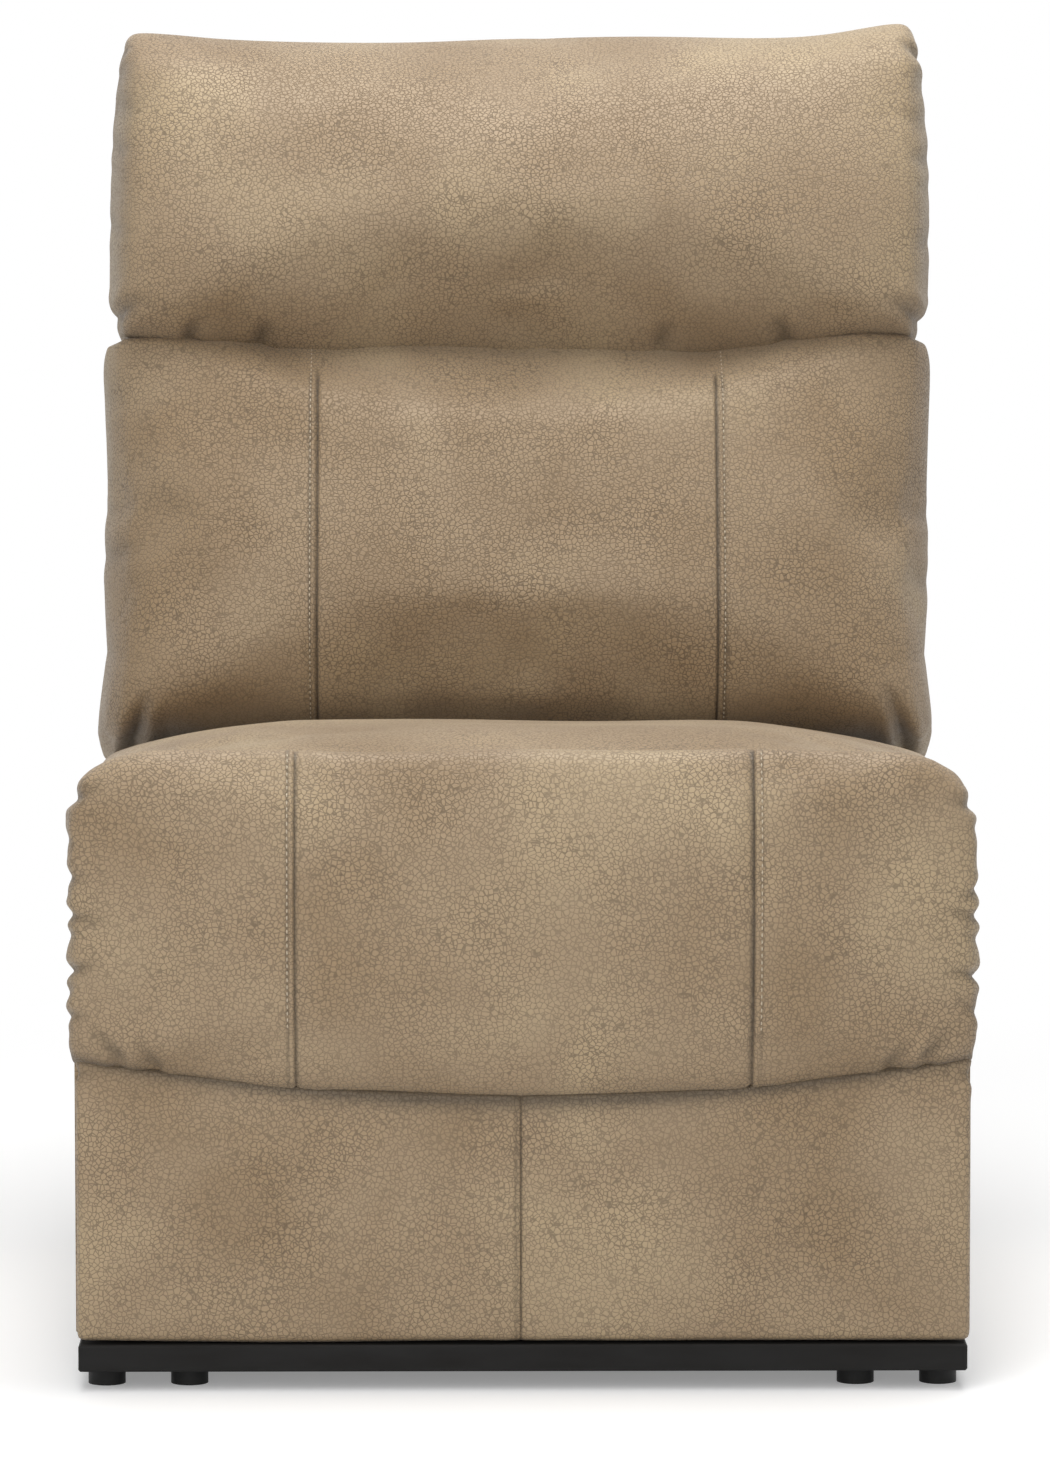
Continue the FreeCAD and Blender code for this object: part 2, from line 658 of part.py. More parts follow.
def make_seat_plates():
    """The steel side plates of the seat, with a flange that carries the seat box, and their pivots."""
    body = new_body("right_seat_plate")
    inner = layer(SEAT_LAYER)
    top = rail_bottom
    leg = swing_half_width + plate_margin
    shoulder = plate_shoulder
    front = front_swing_head
    rear = rear_swing_head
    lower_edge = guide_pivot[1] - leg - plate_corner
    web = [(drive_pivot[0] - leg - plate_corner, drive_pivot[1] - leg), (guide_pivot[0] + leg, lower_edge),
           (front[0] - leg, front[1] - leg / 2), (front[0] - leg / 2, front[1] - leg),
           (front[0] + leg / 2, front[1] - leg), (front[0] + leg, front[1] - leg / 2),
           (front[0] + shoulder, lower_edge), (rear[0] - shoulder, lower_edge),
           (rear[0] - leg, rear[1] + shoulder), (rear[0] - leg, rear[1] - leg / 2), (rear[0] - leg / 2, rear[1] - leg),
           (rear[0] + leg / 2, rear[1] - leg), (rear[0] + leg, rear[1] - leg / 2),
           (back_hinge_ahead + leg, back_hinge_height - leg), (back_hinge_ahead + leg, top),
           (drive_pivot[0] - leg - plate_corner, top)]
    pad(body, outline(body, "YZ_Plane", (0, 0, inner), web, "seat_web"), plate, "seat_web_pad")
    flange = [(inner, drive_pivot[0] - leg), (inner + seat_flange, drive_pivot[0] - leg),
              (inner + seat_flange, box_rear - rail_thickness), (inner, box_rear - rail_thickness)]
    pad(body, outline(body, "XY_Plane", (0, 0, top - plate), flange, "seat_flange"), plate, "seat_flange_pad")
    rivet(body, "front_seat_rivet", front, SEAT_LAYER, SWING_LAYER)
    rivet(body, "rear_seat_rivet", rear, SEAT_LAYER, SWING_LAYER)
    rivet(body, "guide_rivet", guide_pivot, SEAT_LAYER, INNER_LINKS)
    rivet(body, "back_hinge_rivet", (back_hinge_ahead, back_hinge_height), SEAT_LAYER, INNER_LINKS)
    bearing = circles(body, "YZ_Plane", (0, 0, inner), [drive_pivot], drive_tube_radius + pivot_play, "seat_bearing")
    cut_through(body, bearing, "seat_bearing_cut")
    keep(body, "right_seat_plate")
    keep(mirrored(body, "left_seat_plate"), "left_seat_plate")


def make_seat_box():
    """The wooden seat box on the plates, its webbing and its side and rear panels."""
    rail_top = rail_bottom + rail_height
    height = (rail_bottom, rail_top)
    sides = (-seat_half_width, seat_half_width)
    board("seat_front_rail", sides, (box_front, box_front + rail_thickness), height)
    board("seat_rear_rail", sides, (box_rear - rail_thickness, box_rear), height)
    inner = seat_half_width - rail_thickness
    right = board("right_side_rail", (inner, seat_half_width),
                  (box_front + rail_thickness, box_rear - rail_thickness), height)
    keep(mirrored(right, "left_side_rail"), "left_side_rail")

    webbing = new_body("seat_webbing")
    spacing = inner * 2 / STRAPS_ALONG_SEAT
    webbing.AllowCompound = True
    half = web_strap_width / 2
    straps = []
    for index in range(STRAPS_ALONG_SEAT):
        middle = spacing * (index - (STRAPS_ALONG_SEAT - 1) / 2)
        straps.append([(middle - half, box_front), (middle + half, box_front), (middle + half, box_rear),
                       (middle - half, box_rear)])
    reach = (box_rear - box_front) / (STRAPS_ACROSS_SEAT + 1)
    for index in range(STRAPS_ACROSS_SEAT):
        middle = box_front + reach * (index + 1)
        straps.append([(sides[0], middle - half), (sides[1], middle - half), (sides[1], middle + half),
                       (sides[0], middle + half)])
    for index, strap in enumerate(straps):
        sketch = outline(webbing, "XY_Plane", (0, 0, rail_top), strap, "seat_strap_%d" % index)
        pad(webbing, sketch, web_strap, "seat_strap_pad_%d" % index)
    keep(webbing, "seat_webbing")

    panel = new_body("right_side_panel")
    rear = side_panel_rear
    shape = [(side_panel_front, side_panel_bottom), (rear, side_panel_bottom), (rear, rear_panel_top),
             (rear - side_panel_corner, side_panel_top), (side_panel_front, side_panel_top)]
    pad(panel, outline(panel, "YZ_Plane", (0, 0, seat_half_width), shape, "panel_outline"), side_panel,
        "panel_pad")
    slot_half = strap_width / 2 + strap_slot_play
    slot = [(strap_ahead - slot_half, strap_height - strap_slot_play),
            (strap_ahead + slot_half, strap_height - strap_slot_play),
            (strap_ahead + slot_half, strap_height + strap_thickness + strap_slot_play),
            (strap_ahead - slot_half, strap_height + strap_thickness + strap_slot_play)]
    keep(panel, "right_side_panel")
    keep(mirrored(panel, "left_side_panel"), "left_side_panel")
    cut_through(panel, outline(panel, "YZ_Plane", (0, 0, seat_half_width), slot, "strap_slot"), "strap_slot_cut")
    board("seat_rear_panel", sides, (rear - rear_panel, rear), (rear_panel_bottom, rear_panel_top))


def make_seat_cushion():
    """The seat cushion: crowned, lower at its sides, running down under the back cushion at the rear."""
    bottom = rail_bottom + rail_height + web_strap + soft_gap

    def station(fall, place):
        front = cushion_front + cushion_end_draw * fall
        rear = cushion_rear - cushion_end_draw * fall
        crown = 1 - place * place / (cushion_half_width * cushion_half_width)
        top = cushion_side_top + (cushion_crown - cushion_side_top) * (1 - fall) - cushion_dish * (1 - crown)
        rear_top = cushion_rear_top - cushion_rear_drop * fall
        nose = cushion_nose - cushion_nose_draw * fall
        return [(rear, bottom), (rear, rear_top),
                (rear - cushion_tuck_run, rear_top + cushion_tuck_lift, cushion_top_bulge),
                (front + nose, top, cushion_nose_bulge),
                (front, top - nose), (front, bottom)]

    cushion("seat_cushion", cushion_half_width, station)


def make_footrest_links():
    """The four links a side, the tube that drives both sides together, and their rivets."""
    drive = rounded_bar("drive_link", INNER_LINKS, [drive_pivot, elbow, drive_end], link_half_width,
                        [None, None, None])
    collar = circles(drive, "YZ_Plane", (0, 0, layer(INNER_LINKS)), [drive_pivot], drive_collar_radius,
                     "drive_collar")
    pad(drive, collar, plate, "drive_collar_pad")
    cut_through(drive, circles(drive, "YZ_Plane", (0, 0, layer(INNER_LINKS)), [drive_pivot],
                               drive_tube_radius + pivot_play, "drive_bore"), "drive_bore_cut")
    rivet(drive, "elbow_rivet", elbow, INNER_LINKS, OUTER_LINKS)
    rivet(drive, "drive_end_rivet", drive_end, INNER_LINKS, OUTER_LINKS)
    both_sides([drive], "drive_links")
    drive_bar("drive_tube", drive_pivot, layer(INNER_LINKS) + plate, drive_tube_radius)
    guide = rounded_bar("guide_link", INNER_LINKS, [guide_pivot, guide_end], link_half_width, [pivot_hole, None])
    rivet(guide, "guide_end_rivet", guide_end, INNER_LINKS, OUTER_LINKS)
    both_sides([guide], "guide_links")
    both_sides([rounded_bar("long_link", OUTER_LINKS, [guide_end, elbow, bracket_upper], link_half_width,
                            [pivot_hole, pivot_hole, pivot_hole])], "long_links")
    both_sides([rounded_bar("stay_link", OUTER_LINKS, [drive_end, bracket_lower], link_half_width,
                            [pivot_hole, pivot_hole])], "stay_links")


def make_footrest():
    """The footrest board, its brackets, the rolled calf pad and the flat front panel below it."""
    front = board_rear - board_thickness
    body = new_body("footrest_board")
    wide = footrest_half_width
    shape = [(-wide, board_bottom), (wide, board_bottom), (wide, board_top - board_corner),
             (wide - board_corner, board_top), (-wide + board_corner, board_top), (-wide, board_top - board_corner)]
    pad(body, outline(body, "XZ_Plane", (0, 0, -board_rear), shape, "board_outline"), board_thickness, "board_pad")
    keep(body, "footrest_board")

    bracket = new_body("right_footrest_bracket")
    inner = layer(INNER_LINKS)
    edge = footrest_bracket_edge
    low = bracket_lower[1] - footrest_bracket_tail
    high = bracket_upper[1] + footrest_bracket_head
    web = [(board_rear, low), (board_rear + edge, low + edge / 2),
           (bracket_lower[0] + edge, bracket_lower[1] - edge), (bracket_upper[0] + edge, bracket_upper[1] + edge / 2),
           (bracket_upper[0], bracket_upper[1] + edge), (board_rear, high)]
    pad(bracket, outline(bracket, "YZ_Plane", (0, 0, inner), web, "footrest_web"), plate, "footrest_web_pad")
    flange = [(board_rear, low), (board_rear + plate, low), (board_rear + plate, high), (board_rear, high)]
    flange_width = bracket_flange / 2
    pad(bracket, outline(bracket, "YZ_Plane", (0, 0, inner), flange, "footrest_flange"), flange_width,
        "footrest_flange_pad")
    rivet(bracket, "bracket_upper_rivet", bracket_upper, INNER_LINKS, OUTER_LINKS)
    rivet(bracket, "bracket_lower_rivet", bracket_lower, INNER_LINKS, OUTER_LINKS)
    keep(bracket, "right_footrest_bracket")
    keep(mirrored(bracket, "left_footrest_bracket"), "left_footrest_bracket")

    panel = new_body("front_panel")
    side = front_panel_half_width
    ends = tuck_height + tuck_rise - tuck_gap
    shape = [(-side, front_panel_bottom), (side, front_panel_bottom), (side, ends, -tuck_rise), (-side, ends)]
    blank = pad(panel, outline(panel, "XZ_Plane", (0, 0, -front), shape, "front_panel_outline"),
                front_panel_depth, "front_panel_pad")
    doc.recompute()
    near = [("Edge%d" % (index + 1)) for index, edge in enumerate(blank.Shape.Edges)
            if abs(edge.BoundBox.YMax - (front - front_panel_depth).value) < 0.01]
    bevel = panel.newObject("PartDesign::Chamfer", "front_panel_bevel_edges")
    bevel.Base = (blank, near)
    bind(bevel, "Size", front_panel_bevel)
    keep(panel, "front_panel")

    def station(fall, place):
        rise = tuck_rise * place * place / (pad_half_width * pad_half_width)
        bottom = tuck_height + rise
        top = pad_top - pad_top_drop * fall
        face = pad_front + pad_front_draw * fall
        upper = board_top + soft_gap - pad_lip_drop * fall
        lap = board_rear - pad_lap
        return [(front - soft_gap, bottom), (front - soft_gap, upper), (lap, upper),
                (lap, top, pad_roll - pad_roll_draw * fall), (face, top, pad_belly),
                (face + pad_toe, bottom + pad_toe_rise, pad_toe_bulge)]

    cushion("calf_pad", pad_half_width, station)


def make_back():
    """The back frame, its brackets and webbing, the outside back and the two cushions of the back."""
    inner = back_half_width - back_side
    front = back_side_front
    rear = front + back_side_depth
    bottom = back_side_bottom
    right = lean_back(board("right_back_side", (inner, back_half_width), (front, rear), (bottom, back_frame_top)))
    keep(mirrored(right, "left_back_side"), "left_back_side")
    across = (-inner, inner)
    lean_back(board("back_lower_rail", across, (lower_rail_front, lower_rail_front + back_rail_depth),
                    (bottom, lower_rail_top)))
    lean_back(board("back_top_rail", across, (lower_rail_front, lower_rail_front + back_rail_depth),
                    (back_frame_top - top_rail_height, back_frame_top)))
    lean_back(board("outside_back", (-outside_back_half_width, outside_back_half_width),
                    (rear, rear + outside_back), (-outside_back_drop, back_frame_top)))

    straps = []
    for index in range(STRAPS_ACROSS_BACK):
        middle = lower_rail_top + back_strap_pitch * index
        strap = new_body("back_strap_%d" % index)
        half = back_half_width
        shape = [(-half, middle - back_strap_width / 2), (half, middle - back_strap_width / 2),
                 (half, middle + back_strap_width / 2), (-half, middle + back_strap_width / 2)]
        pad(strap, outline(strap, "XZ_Plane", (0, 0, -front), shape, "back_strap_outline_%d" % index), web_strap,
            "back_strap_pad_%d" % index)
        straps.append(lean_back(strap))
    keep(group(straps, "back_webbing"), "back_webbing")

    bracket = new_body("right_back_bracket")
    plane = layer(INNER_LINKS)
    eye = swing_half_width
    seat = lower_rail_front
    neck = seat - back_bracket_neck
    web = [(back_pin_behind - eye / 2, -back_pin_below - eye), (back_pin_behind + eye / 2, -back_pin_below - eye),
           (back_pin_behind + eye, -back_pin_below), (back_pin_behind + eye, Size.of(0)), (seat, bottom),
           (seat, lower_rail_top - eye), (neck, lower_rail_top - eye), (neck, bottom + eye),
           (-eye / 2, eye), (-eye, eye / 2), (-eye, -eye / 2), (back_pin_behind - eye, -back_pin_below)]
    pad(bracket, outline(bracket, "YZ_Plane", (0, 0, plane), web, "back_web"), plate, "back_web_pad")
    flange = [(seat - plate, bottom), (seat, bottom), (seat, lower_rail_top - eye),
              (seat - plate, lower_rail_top - eye)]
    pad(bracket, outline(bracket, "YZ_Plane", (0, 0, plane), flange, "back_flange"), bracket_flange / 2,
        "back_flange_pad")
    rivet(bracket, "back_pin", (back_pin_behind, -back_pin_below), INNER_LINKS, OUTER_LINKS)
    cut_through(bracket, circles(bracket, "YZ_Plane", (0, 0, plane), [(0, 0)], pivot_hole, "back_hinge_hole"),
                "back_hinge_hole_cut")
    keep(lean_back(bracket), "right_back_bracket")
    keep(mirrored(bracket, "left_back_bracket"), "left_back_bracket")

    rest = front - web_strap - soft_gap
    low = back_cushion_bottom
    high = pillow_parting - soft_gap

    def station(fall, place):
        face = back_cushion_front + back_cushion_draw * fall
        bottom = low + back_cushion_lift * fall
        return [(rest, bottom), (rest, high), (face + back_cushion_shoulder, high, back_cushion_shoulder_bulge),
                (face, bottom + back_cushion_toe_rise, back_cushion_bulge), (face + back_cushion_toe, bottom)]

    lean_back(cushion("back_cushion", back_cushion_half_width, station, dished=False))

    cap = back_frame_top + soft_gap
    back_face = rear + outside_back

    def pillow(fall, place):
        face = pillow_front + pillow_draw * fall
        top = pillow_top - pillow_top_drop * fall
        return [(rest, pillow_parting), (rest, cap), (back_face - pillow_rear_lap, cap),
                (back_face - pillow_rear_round, top - pillow_rear_rise, pillow_rear_bulge),
                (rest - pillow_crest_ahead, top, pillow_crest_bulge),
                (face + pillow_brow, top - pillow_brow_drop, pillow_brow_bulge),
                (face, pillow_parting + pillow_toe_rise, pillow_face_bulge), (face + pillow_toe, pillow_parting)]

    lean_back(cushion("head_pillow", pillow_half_width, pillow, dished=False))


def make_back_link():
    """The link from the rear swing link to the back bracket, which leans the back as the seat moves."""
    lower = (back_link_ahead, back_link_height)
    upper = leaned(back_pin_behind, -back_pin_below)
    link = rounded_bar("back_link", OUTER_LINKS, [lower, upper], link_half_width,
                       [pivot_hole + open_pivot_play, pivot_hole])
    both_sides([link], "back_links")


def make_release():
    """The pull strap through the right side panel, and the catch that it turns on a pin under the seat plate."""
    outer = seat_half_width + side_panel
    half = strap_width / 2
    strap = new_body("release_strap")
    tongue = [(strap_inner_end, strap_ahead - half), (outer + strap_thickness, strap_ahead - half),
              (outer + strap_thickness, strap_ahead + half), (strap_inner_end, strap_ahead + half)]
    pad(strap, outline(strap, "XY_Plane", (0, 0, strap_height), tongue, "strap_tongue"), strap_thickness,
        "strap_tongue_pad")
    tab = [(strap_ahead - half, strap_height - strap_drop), (strap_ahead + half, strap_height - strap_drop),
           (strap_ahead + half, strap_height + strap_thickness), (strap_ahead - half, strap_height + strap_thickness)]
    pad(strap, outline(strap, "YZ_Plane", (0, 0, outer + soft_gap), tab, "strap_tab"), strap_thickness - soft_gap,
        "strap_tab_pad")
    slot_half = catch_stud_radius + stud_play
    slot = [(catch_pivot_side - slot_half, strap_ahead - strap_travel_play),
            (catch_pivot_side + slot_half, strap_ahead - strap_travel_play),
            (catch_pivot_side + slot_half, strap_ahead + slot_half),
            (catch_pivot_side - slot_half, strap_ahead + slot_half)]
    cut_through(strap, outline(strap, "XY_Plane", (0, 0, strap_height), slot, "strap_hole"), "strap_hole_cut")
    keep(strap, "release_strap")

    catch_top = strap_height - catch_gap
    pivot = (catch_pivot_side, strap_ahead - catch_arm)
    catch = new_body("release_catch")
    arm_half = catch_stud_radius + catch_margin
    arm = [(pivot[0] - arm_half, pivot[1]), (pivot[0] + arm_half, pivot[1]),
           (pivot[0] + arm_half, strap_ahead + arm_half), (pivot[0] - arm_half, strap_ahead + arm_half)]
    base = catch_top - plate
    pad(catch, outline(catch, "XY_Plane", (0, 0, base), arm, "catch_arm"), plate, "catch_arm_pad")
    eye = outline(catch, "XY_Plane", (0, 0, base), many_sided(pivot, catch_eye_radius), "catch_eye")
    pad(catch, eye, plate, "catch_eye_pad")
    tooth = [(pivot[0] - arm_half, pivot[1]), (pivot[0] - arm_half, pivot[1] - catch_tooth),
             (pivot[0], pivot[1] - catch_tooth - catch_tooth_nose), (pivot[0] + arm_half, pivot[1])]
    pad(catch, outline(catch, "XY_Plane", (0, 0, base), list(reversed(tooth)), "catch_tooth"), plate,
        "catch_tooth_pad")
    stud = circles(catch, "XY_Plane", (0, 0, base), [(catch_pivot_side, strap_ahead)], catch_stud_radius,
                   "catch_stud")
    pad(catch, stud, plate + catch_gap + strap_thickness + catch_stud_above, "catch_stud_pad")
    cut_through(catch, circles(catch, "XY_Plane", (0, 0, base), [pivot], pivot_hole, "catch_hole"),
                "catch_hole_cut")
    keep(catch, "release_catch")
    pin = new_body("catch_pin")
    low = base - rivet_head_gap
    pad(pin, outline(pin, "XY_Plane", (0, 0, low), many_sided(pivot, rivet_radius), "catch_pin_shaft"),
        rail_bottom - plate - low, "catch_pin_shaft_pad")
    pad(pin, outline(pin, "XY_Plane", (0, 0, low - rivet_head_height), many_sided(pivot, rivet_head_radius),
                     "catch_pin_head"), rivet_head_height, "catch_pin_head_pad")
    keep(pin, "catch_pin")


def check_and_write():
    """Recompute, stop on any failed object or bad shape, and write each sub-part's solids."""
    doc.recompute()
    for thing in doc.Objects:
        bad = [word for word in thing.State if word in ("Invalid", "Error")]
        if bad:
            raise RuntimeError("%s: %s" % (thing.Label, bad))
    for node in nodes:
        shape = node.Shape
        if shape.isNull() or not shape.isValid() or not shape.Solids:
            raise RuntimeError("bad shape: " + node.Label)
    os.makedirs("parts", exist_ok=True)
    for node in nodes:
        node.Shape.exportStep("parts/%s.step" % node.Label)


make_base()
make_swings()
make_seat_plates()
make_seat_box()
make_seat_cushion()
make_footrest_links()
make_footrest()
make_back()
make_back_link()
make_release()
check_and_write()
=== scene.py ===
"""Dresses an armless reclining chair: its stuffed covers, panels, seams, finishes, light and camera."""

import bmesh
import bpy
import json
import logging
import math
import numpy as np
from dataclasses import dataclass
from enum import StrEnum
from mathutils import Matrix, Vector, noise
from mathutils.bvhtree import BVHTree


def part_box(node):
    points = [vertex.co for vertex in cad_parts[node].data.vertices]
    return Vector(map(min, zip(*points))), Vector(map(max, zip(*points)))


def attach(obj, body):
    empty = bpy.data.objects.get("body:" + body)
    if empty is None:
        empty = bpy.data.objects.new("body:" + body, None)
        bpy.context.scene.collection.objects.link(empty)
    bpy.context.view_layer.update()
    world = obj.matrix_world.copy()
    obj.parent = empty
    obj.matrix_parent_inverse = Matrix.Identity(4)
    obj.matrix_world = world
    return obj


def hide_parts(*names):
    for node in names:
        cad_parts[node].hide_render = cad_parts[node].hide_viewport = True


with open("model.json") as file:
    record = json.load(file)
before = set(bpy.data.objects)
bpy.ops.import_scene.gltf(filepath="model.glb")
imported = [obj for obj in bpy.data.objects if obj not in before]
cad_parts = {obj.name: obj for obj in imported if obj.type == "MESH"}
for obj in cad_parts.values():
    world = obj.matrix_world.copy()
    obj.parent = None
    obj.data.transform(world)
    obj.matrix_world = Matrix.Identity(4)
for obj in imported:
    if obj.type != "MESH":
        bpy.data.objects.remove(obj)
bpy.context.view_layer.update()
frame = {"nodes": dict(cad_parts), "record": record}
MM = 0.001
log = logging.getLogger("recliner")


class Body(StrEnum):
    """The bodies that carry a dressed piece."""

    FOOTREST = "footrest"
    SEAT = "seat"
    BACK = "back"


class Slot(StrEnum):
    """The material slots that the CAD nodes have."""

    BOARD = "black_board"
    PLASTIC = "black_plastic"
    WOOD = "frame_wood"
    STEEL = "black_steel"
    RIVET = "rivet_steel"
    WEBBING = "webbing"
    STRAP = "strap"
    UPHOLSTERY = "upholstery"


def linear(code: str) -> tuple[float, float, float, float]:
    """Turn an sRGB hex colour into linear red, green, blue and alpha.

    Args:
        code: the colour as "#rrggbb".

    Returns:
        The four linear values.
    """
    channels = [int(code[start:start + 2], 16) / 255 for start in (1, 3, 5)]
    values = [value / 12.92 if value <= 0.04045 else ((value + 0.055) / 1.055) ** 2.4 for value in channels]
    return (values[0], values[1], values[2], 1.0)


def add_node(tree: bpy.types.NodeTree, kind: str, settings: dict | None = None,
             inputs: dict | None = None) -> bpy.types.Node:
    """Add a node, set its properties, and set or link its inputs.

    Args:
        tree: the node tree that it joins.
        kind: the node's type name.
        settings: its properties by name.
        inputs: its sockets by name or number, each with a value or with another node's output.

    Returns:
        The new node.
    """
    node = tree.nodes.new(kind)
    for name, value in (settings or {}).items():
        setattr(node, name, value)
    for name, value in (inputs or {}).items():
        if isinstance(value, bpy.types.NodeSocket):
            tree.links.new(value, node.inputs[name])
        else:
            node.inputs[name].default_value = value
    return node


def ramp(tree: bpy.types.NodeTree, factor: bpy.types.NodeSocket,
         stops: list[tuple[float, str]]) -> bpy.types.NodeSocket:
    """Add a colour ramp over a factor.

    Args:
        tree: the node tree.
        factor: the socket that drives it.
        stops: places from 0 to 1, each with an sRGB hex colour.

    Returns:
        The ramp's colour socket.
    """
    node = add_node(tree, "ShaderNodeValToRGB", inputs={"Fac": factor})
    elements = node.color_ramp.elements
    while len(elements) < len(stops):
        elements.new(0.5)
    for element, (place, code) in zip(elements, stops):
        element.position = place
        element.color = linear(code)
    return node.outputs["Color"]


class Finish:
    """A procedural finish that is made once and shared by its pieces."""

    name: str
    made: dict[str, bpy.types.Material] = {}

    def shade(self, tree: bpy.types.NodeTree, place: bpy.types.NodeSocket) -> bpy.types.NodeSocket:
        """Build the finish's nodes. Every finish has its own."""
        raise NotImplementedError

    def material(self) -> bpy.types.Material:
        """Make this finish's material on its first use.

        Returns:
            The material that all pieces of this finish share.
        """
        if self.name not in Finish.made:
            made = bpy.data.materials.new(self.name)
            made.use_nodes = True
            tree = made.node_tree
            tree.nodes.clear()
            output = add_node(tree, "ShaderNodeOutputMaterial")
            place = add_node(tree, "ShaderNodeTexCoord").outputs["Object"]
            in_mm = add_node(tree, "ShaderNodeMapping", inputs={"Vector": place, "Scale": (1000, 1000, 1000)})
            shader = self.shade(tree, in_mm.outputs["Vector"])
            tree.links.new(shader, output.inputs["Surface"])
            Finish.made[self.name] = made
        return Finish.made[self.name]

    def dress(self, piece: bpy.types.Object) -> None:
        """Give a piece this finish on all its faces."""
        piece.data.materials.clear()
        piece.data.materials.append(self.material())


@dataclass(frozen=True)
class PebbledLeather(Finish):
    """Milled faux leather: a polyurethane skin on knitted backing, rolled with a pebble grain, then buffed.

    The buffing leaves a cloudy mix of sand and umber. The tops of the pebbles are painted lighter and the
    gaps between them darker, as painted highlight and painted shade, more strongly in some patches than in
    others, and creases, seams and tucks get painted shade towards fold. The skin is close to matt, with a
    soft bloom where it turns away. Its pebbles, their wander, the patches of grain strength and the clouds
    are sizes in mm.
    """

    name: str = "pebbled_faux_leather"
    umber: str = "#8c775c"
    # painted shade: the colour that creases, seams and tucks are darkened towards
    fold: str = "#3d3428"
    sand: str = "#968268"
    bloom: str = "#a39074"
    pebble: float = 3.5
    wander: float = 2.5
    valley_share: float = 0.16
    # size of the patches in which the painted pebble highlight and shade grow stronger and weaker, in mm
    grain_patch_size: float = 60.0
    cloud: float = 150.0

    def shade(self, tree: bpy.types.NodeTree, place: bpy.types.NodeSocket) -> bpy.types.NodeSocket:
        """Build the leather from clouds of colour and a pebble grain, with painted highlight and shade on the
        pebbles and painted shade in the folds.

        Args:
            tree: the material's node tree.
            place: position on the piece in mm.

        Returns:
            The shader socket.
        """
        clouds = add_node(tree, "ShaderNodeTexNoise", inputs={
            "Vector": place, "Scale": 1 / self.cloud, "Detail": 2.0, "Roughness": 0.45, "Distortion": 0.3})
        ground = ramp(tree, clouds.outputs["Fac"], [(0.34, self.umber), (0.5, self.sand), (0.68, self.bloom)])
        warp = add_node(tree, "ShaderNodeTexNoise", inputs={"Vector": place, "Scale": 0.5 / self.pebble})
        bent = add_node(tree, "ShaderNodeVectorMath", {"operation": "MULTIPLY_ADD"}, {
            0: warp.outputs["Color"], 1: (self.wander,) * 3, 2: place})
        cells = add_node(tree, "ShaderNodeTexVoronoi", {"feature": "DISTANCE_TO_EDGE"}, {
            "Vector": bent.outputs["Vector"], "Scale": 1 / self.pebble})
        height = add_node(tree, "ShaderNodeMapRange", {"interpolation_type": "SMOOTHSTEP"}, {
            "Value": cells.outputs["Distance"], "From Min": 0.0, "From Max": self.valley_share})
        # Random patches set how strongly the painted pebble highlight and shade show
        grain_strength_patches = add_node(tree, "ShaderNodeTexNoise", inputs={
            "Vector": place, "Scale": 1 / self.grain_patch_size, "Detail": 3.0})
        strength = add_node(tree, "ShaderNodeMapRange", inputs={
            "Value": grain_strength_patches.outputs["Fac"], "From Min": 0.3, "From Max": 0.7, "To Min": 0.35, "To Max": 0.8})
        # Painted highlight on the pebble tops and painted shade in the gaps between them, laid over the
        # ground colour
        grain = ramp(tree, height.outputs["Result"], [(0.0, "#7c7a78"), (0.4, "#a2a09e"), (1.0, "#c8c6c0")])
        buffed = add_node(tree, "ShaderNodeMix", {"data_type": "RGBA", "blend_type": "OVERLAY"}, {
            0: strength.outputs["Result"], 6: ground, 7: grain})
        # Painted shade: the shade stored on the cover mixes the leather towards fold in creases, seams and
        # tucks
        painted_shade = add_node(tree, "ShaderNodeAttribute", {"attribute_name": "painted_shade"})
        deep = add_node(tree, "ShaderNodeMix", {"data_type": "RGBA", "blend_type": "MIX"}, {
            0: painted_shade.outputs["Fac"], 6: buffed.outputs[2], 7: linear(self.fold)})
        relief = add_node(tree, "ShaderNodeBump", inputs={
            "Strength": 0.55, "Distance": 0.0006, "Height": height.outputs["Result"]})
        gloss = add_node(tree, "ShaderNodeMapRange", inputs={
            "Value": height.outputs["Result"], "To Min": 0.72, "To Max": 0.52})
        skin = add_node(tree, "ShaderNodeBsdfPrincipled", inputs={
            "Base Color": deep.outputs[2], "Roughness": gloss.outputs["Result"],
            "Normal": relief.outputs["Normal"], "IOR": 1.46, "Sheen Weight": 0.12, "Sheen Roughness": 0.45})
        return skin.outputs["BSDF"]


@dataclass(frozen=True)
class SewingThread(Finish):
    """Bonded polyester thread, twisted and dyed a shade over the leather: a dull sheen along its ply."""

    name: str = "bonded_sewing_thread"
    colour: str = "#cdbfa8"

    def shade(self, tree: bpy.types.NodeTree, place: bpy.types.NodeSocket) -> bpy.types.NodeSocket:
        """Build the thread with a ripple for its twist.

        Args:
            tree: the material's node tree.
            place: position on the piece in mm.

        Returns:
            The shader socket.
        """
        ply = add_node(tree, "ShaderNodeTexWave", {"bands_direction": "DIAGONAL"}, {
            "Vector": place, "Scale": 0.9, "Distortion": 0.4})
        colour = ramp(tree, ply.outputs["Fac"], [(0.2, "#a8987f"), (0.8, self.colour)])
        relief = add_node(tree, "ShaderNodeBump", inputs={
            "Strength": 0.4, "Distance": 0.0002, "Height": ply.outputs["Fac"]})
        fibre = add_node(tree, "ShaderNodeBsdfPrincipled", inputs={
            "Base Color": colour, "Roughness": 0.5, "Normal": relief.outputs["Normal"], "Sheen Weight": 0.2})
        return fibre.outputs["BSDF"]


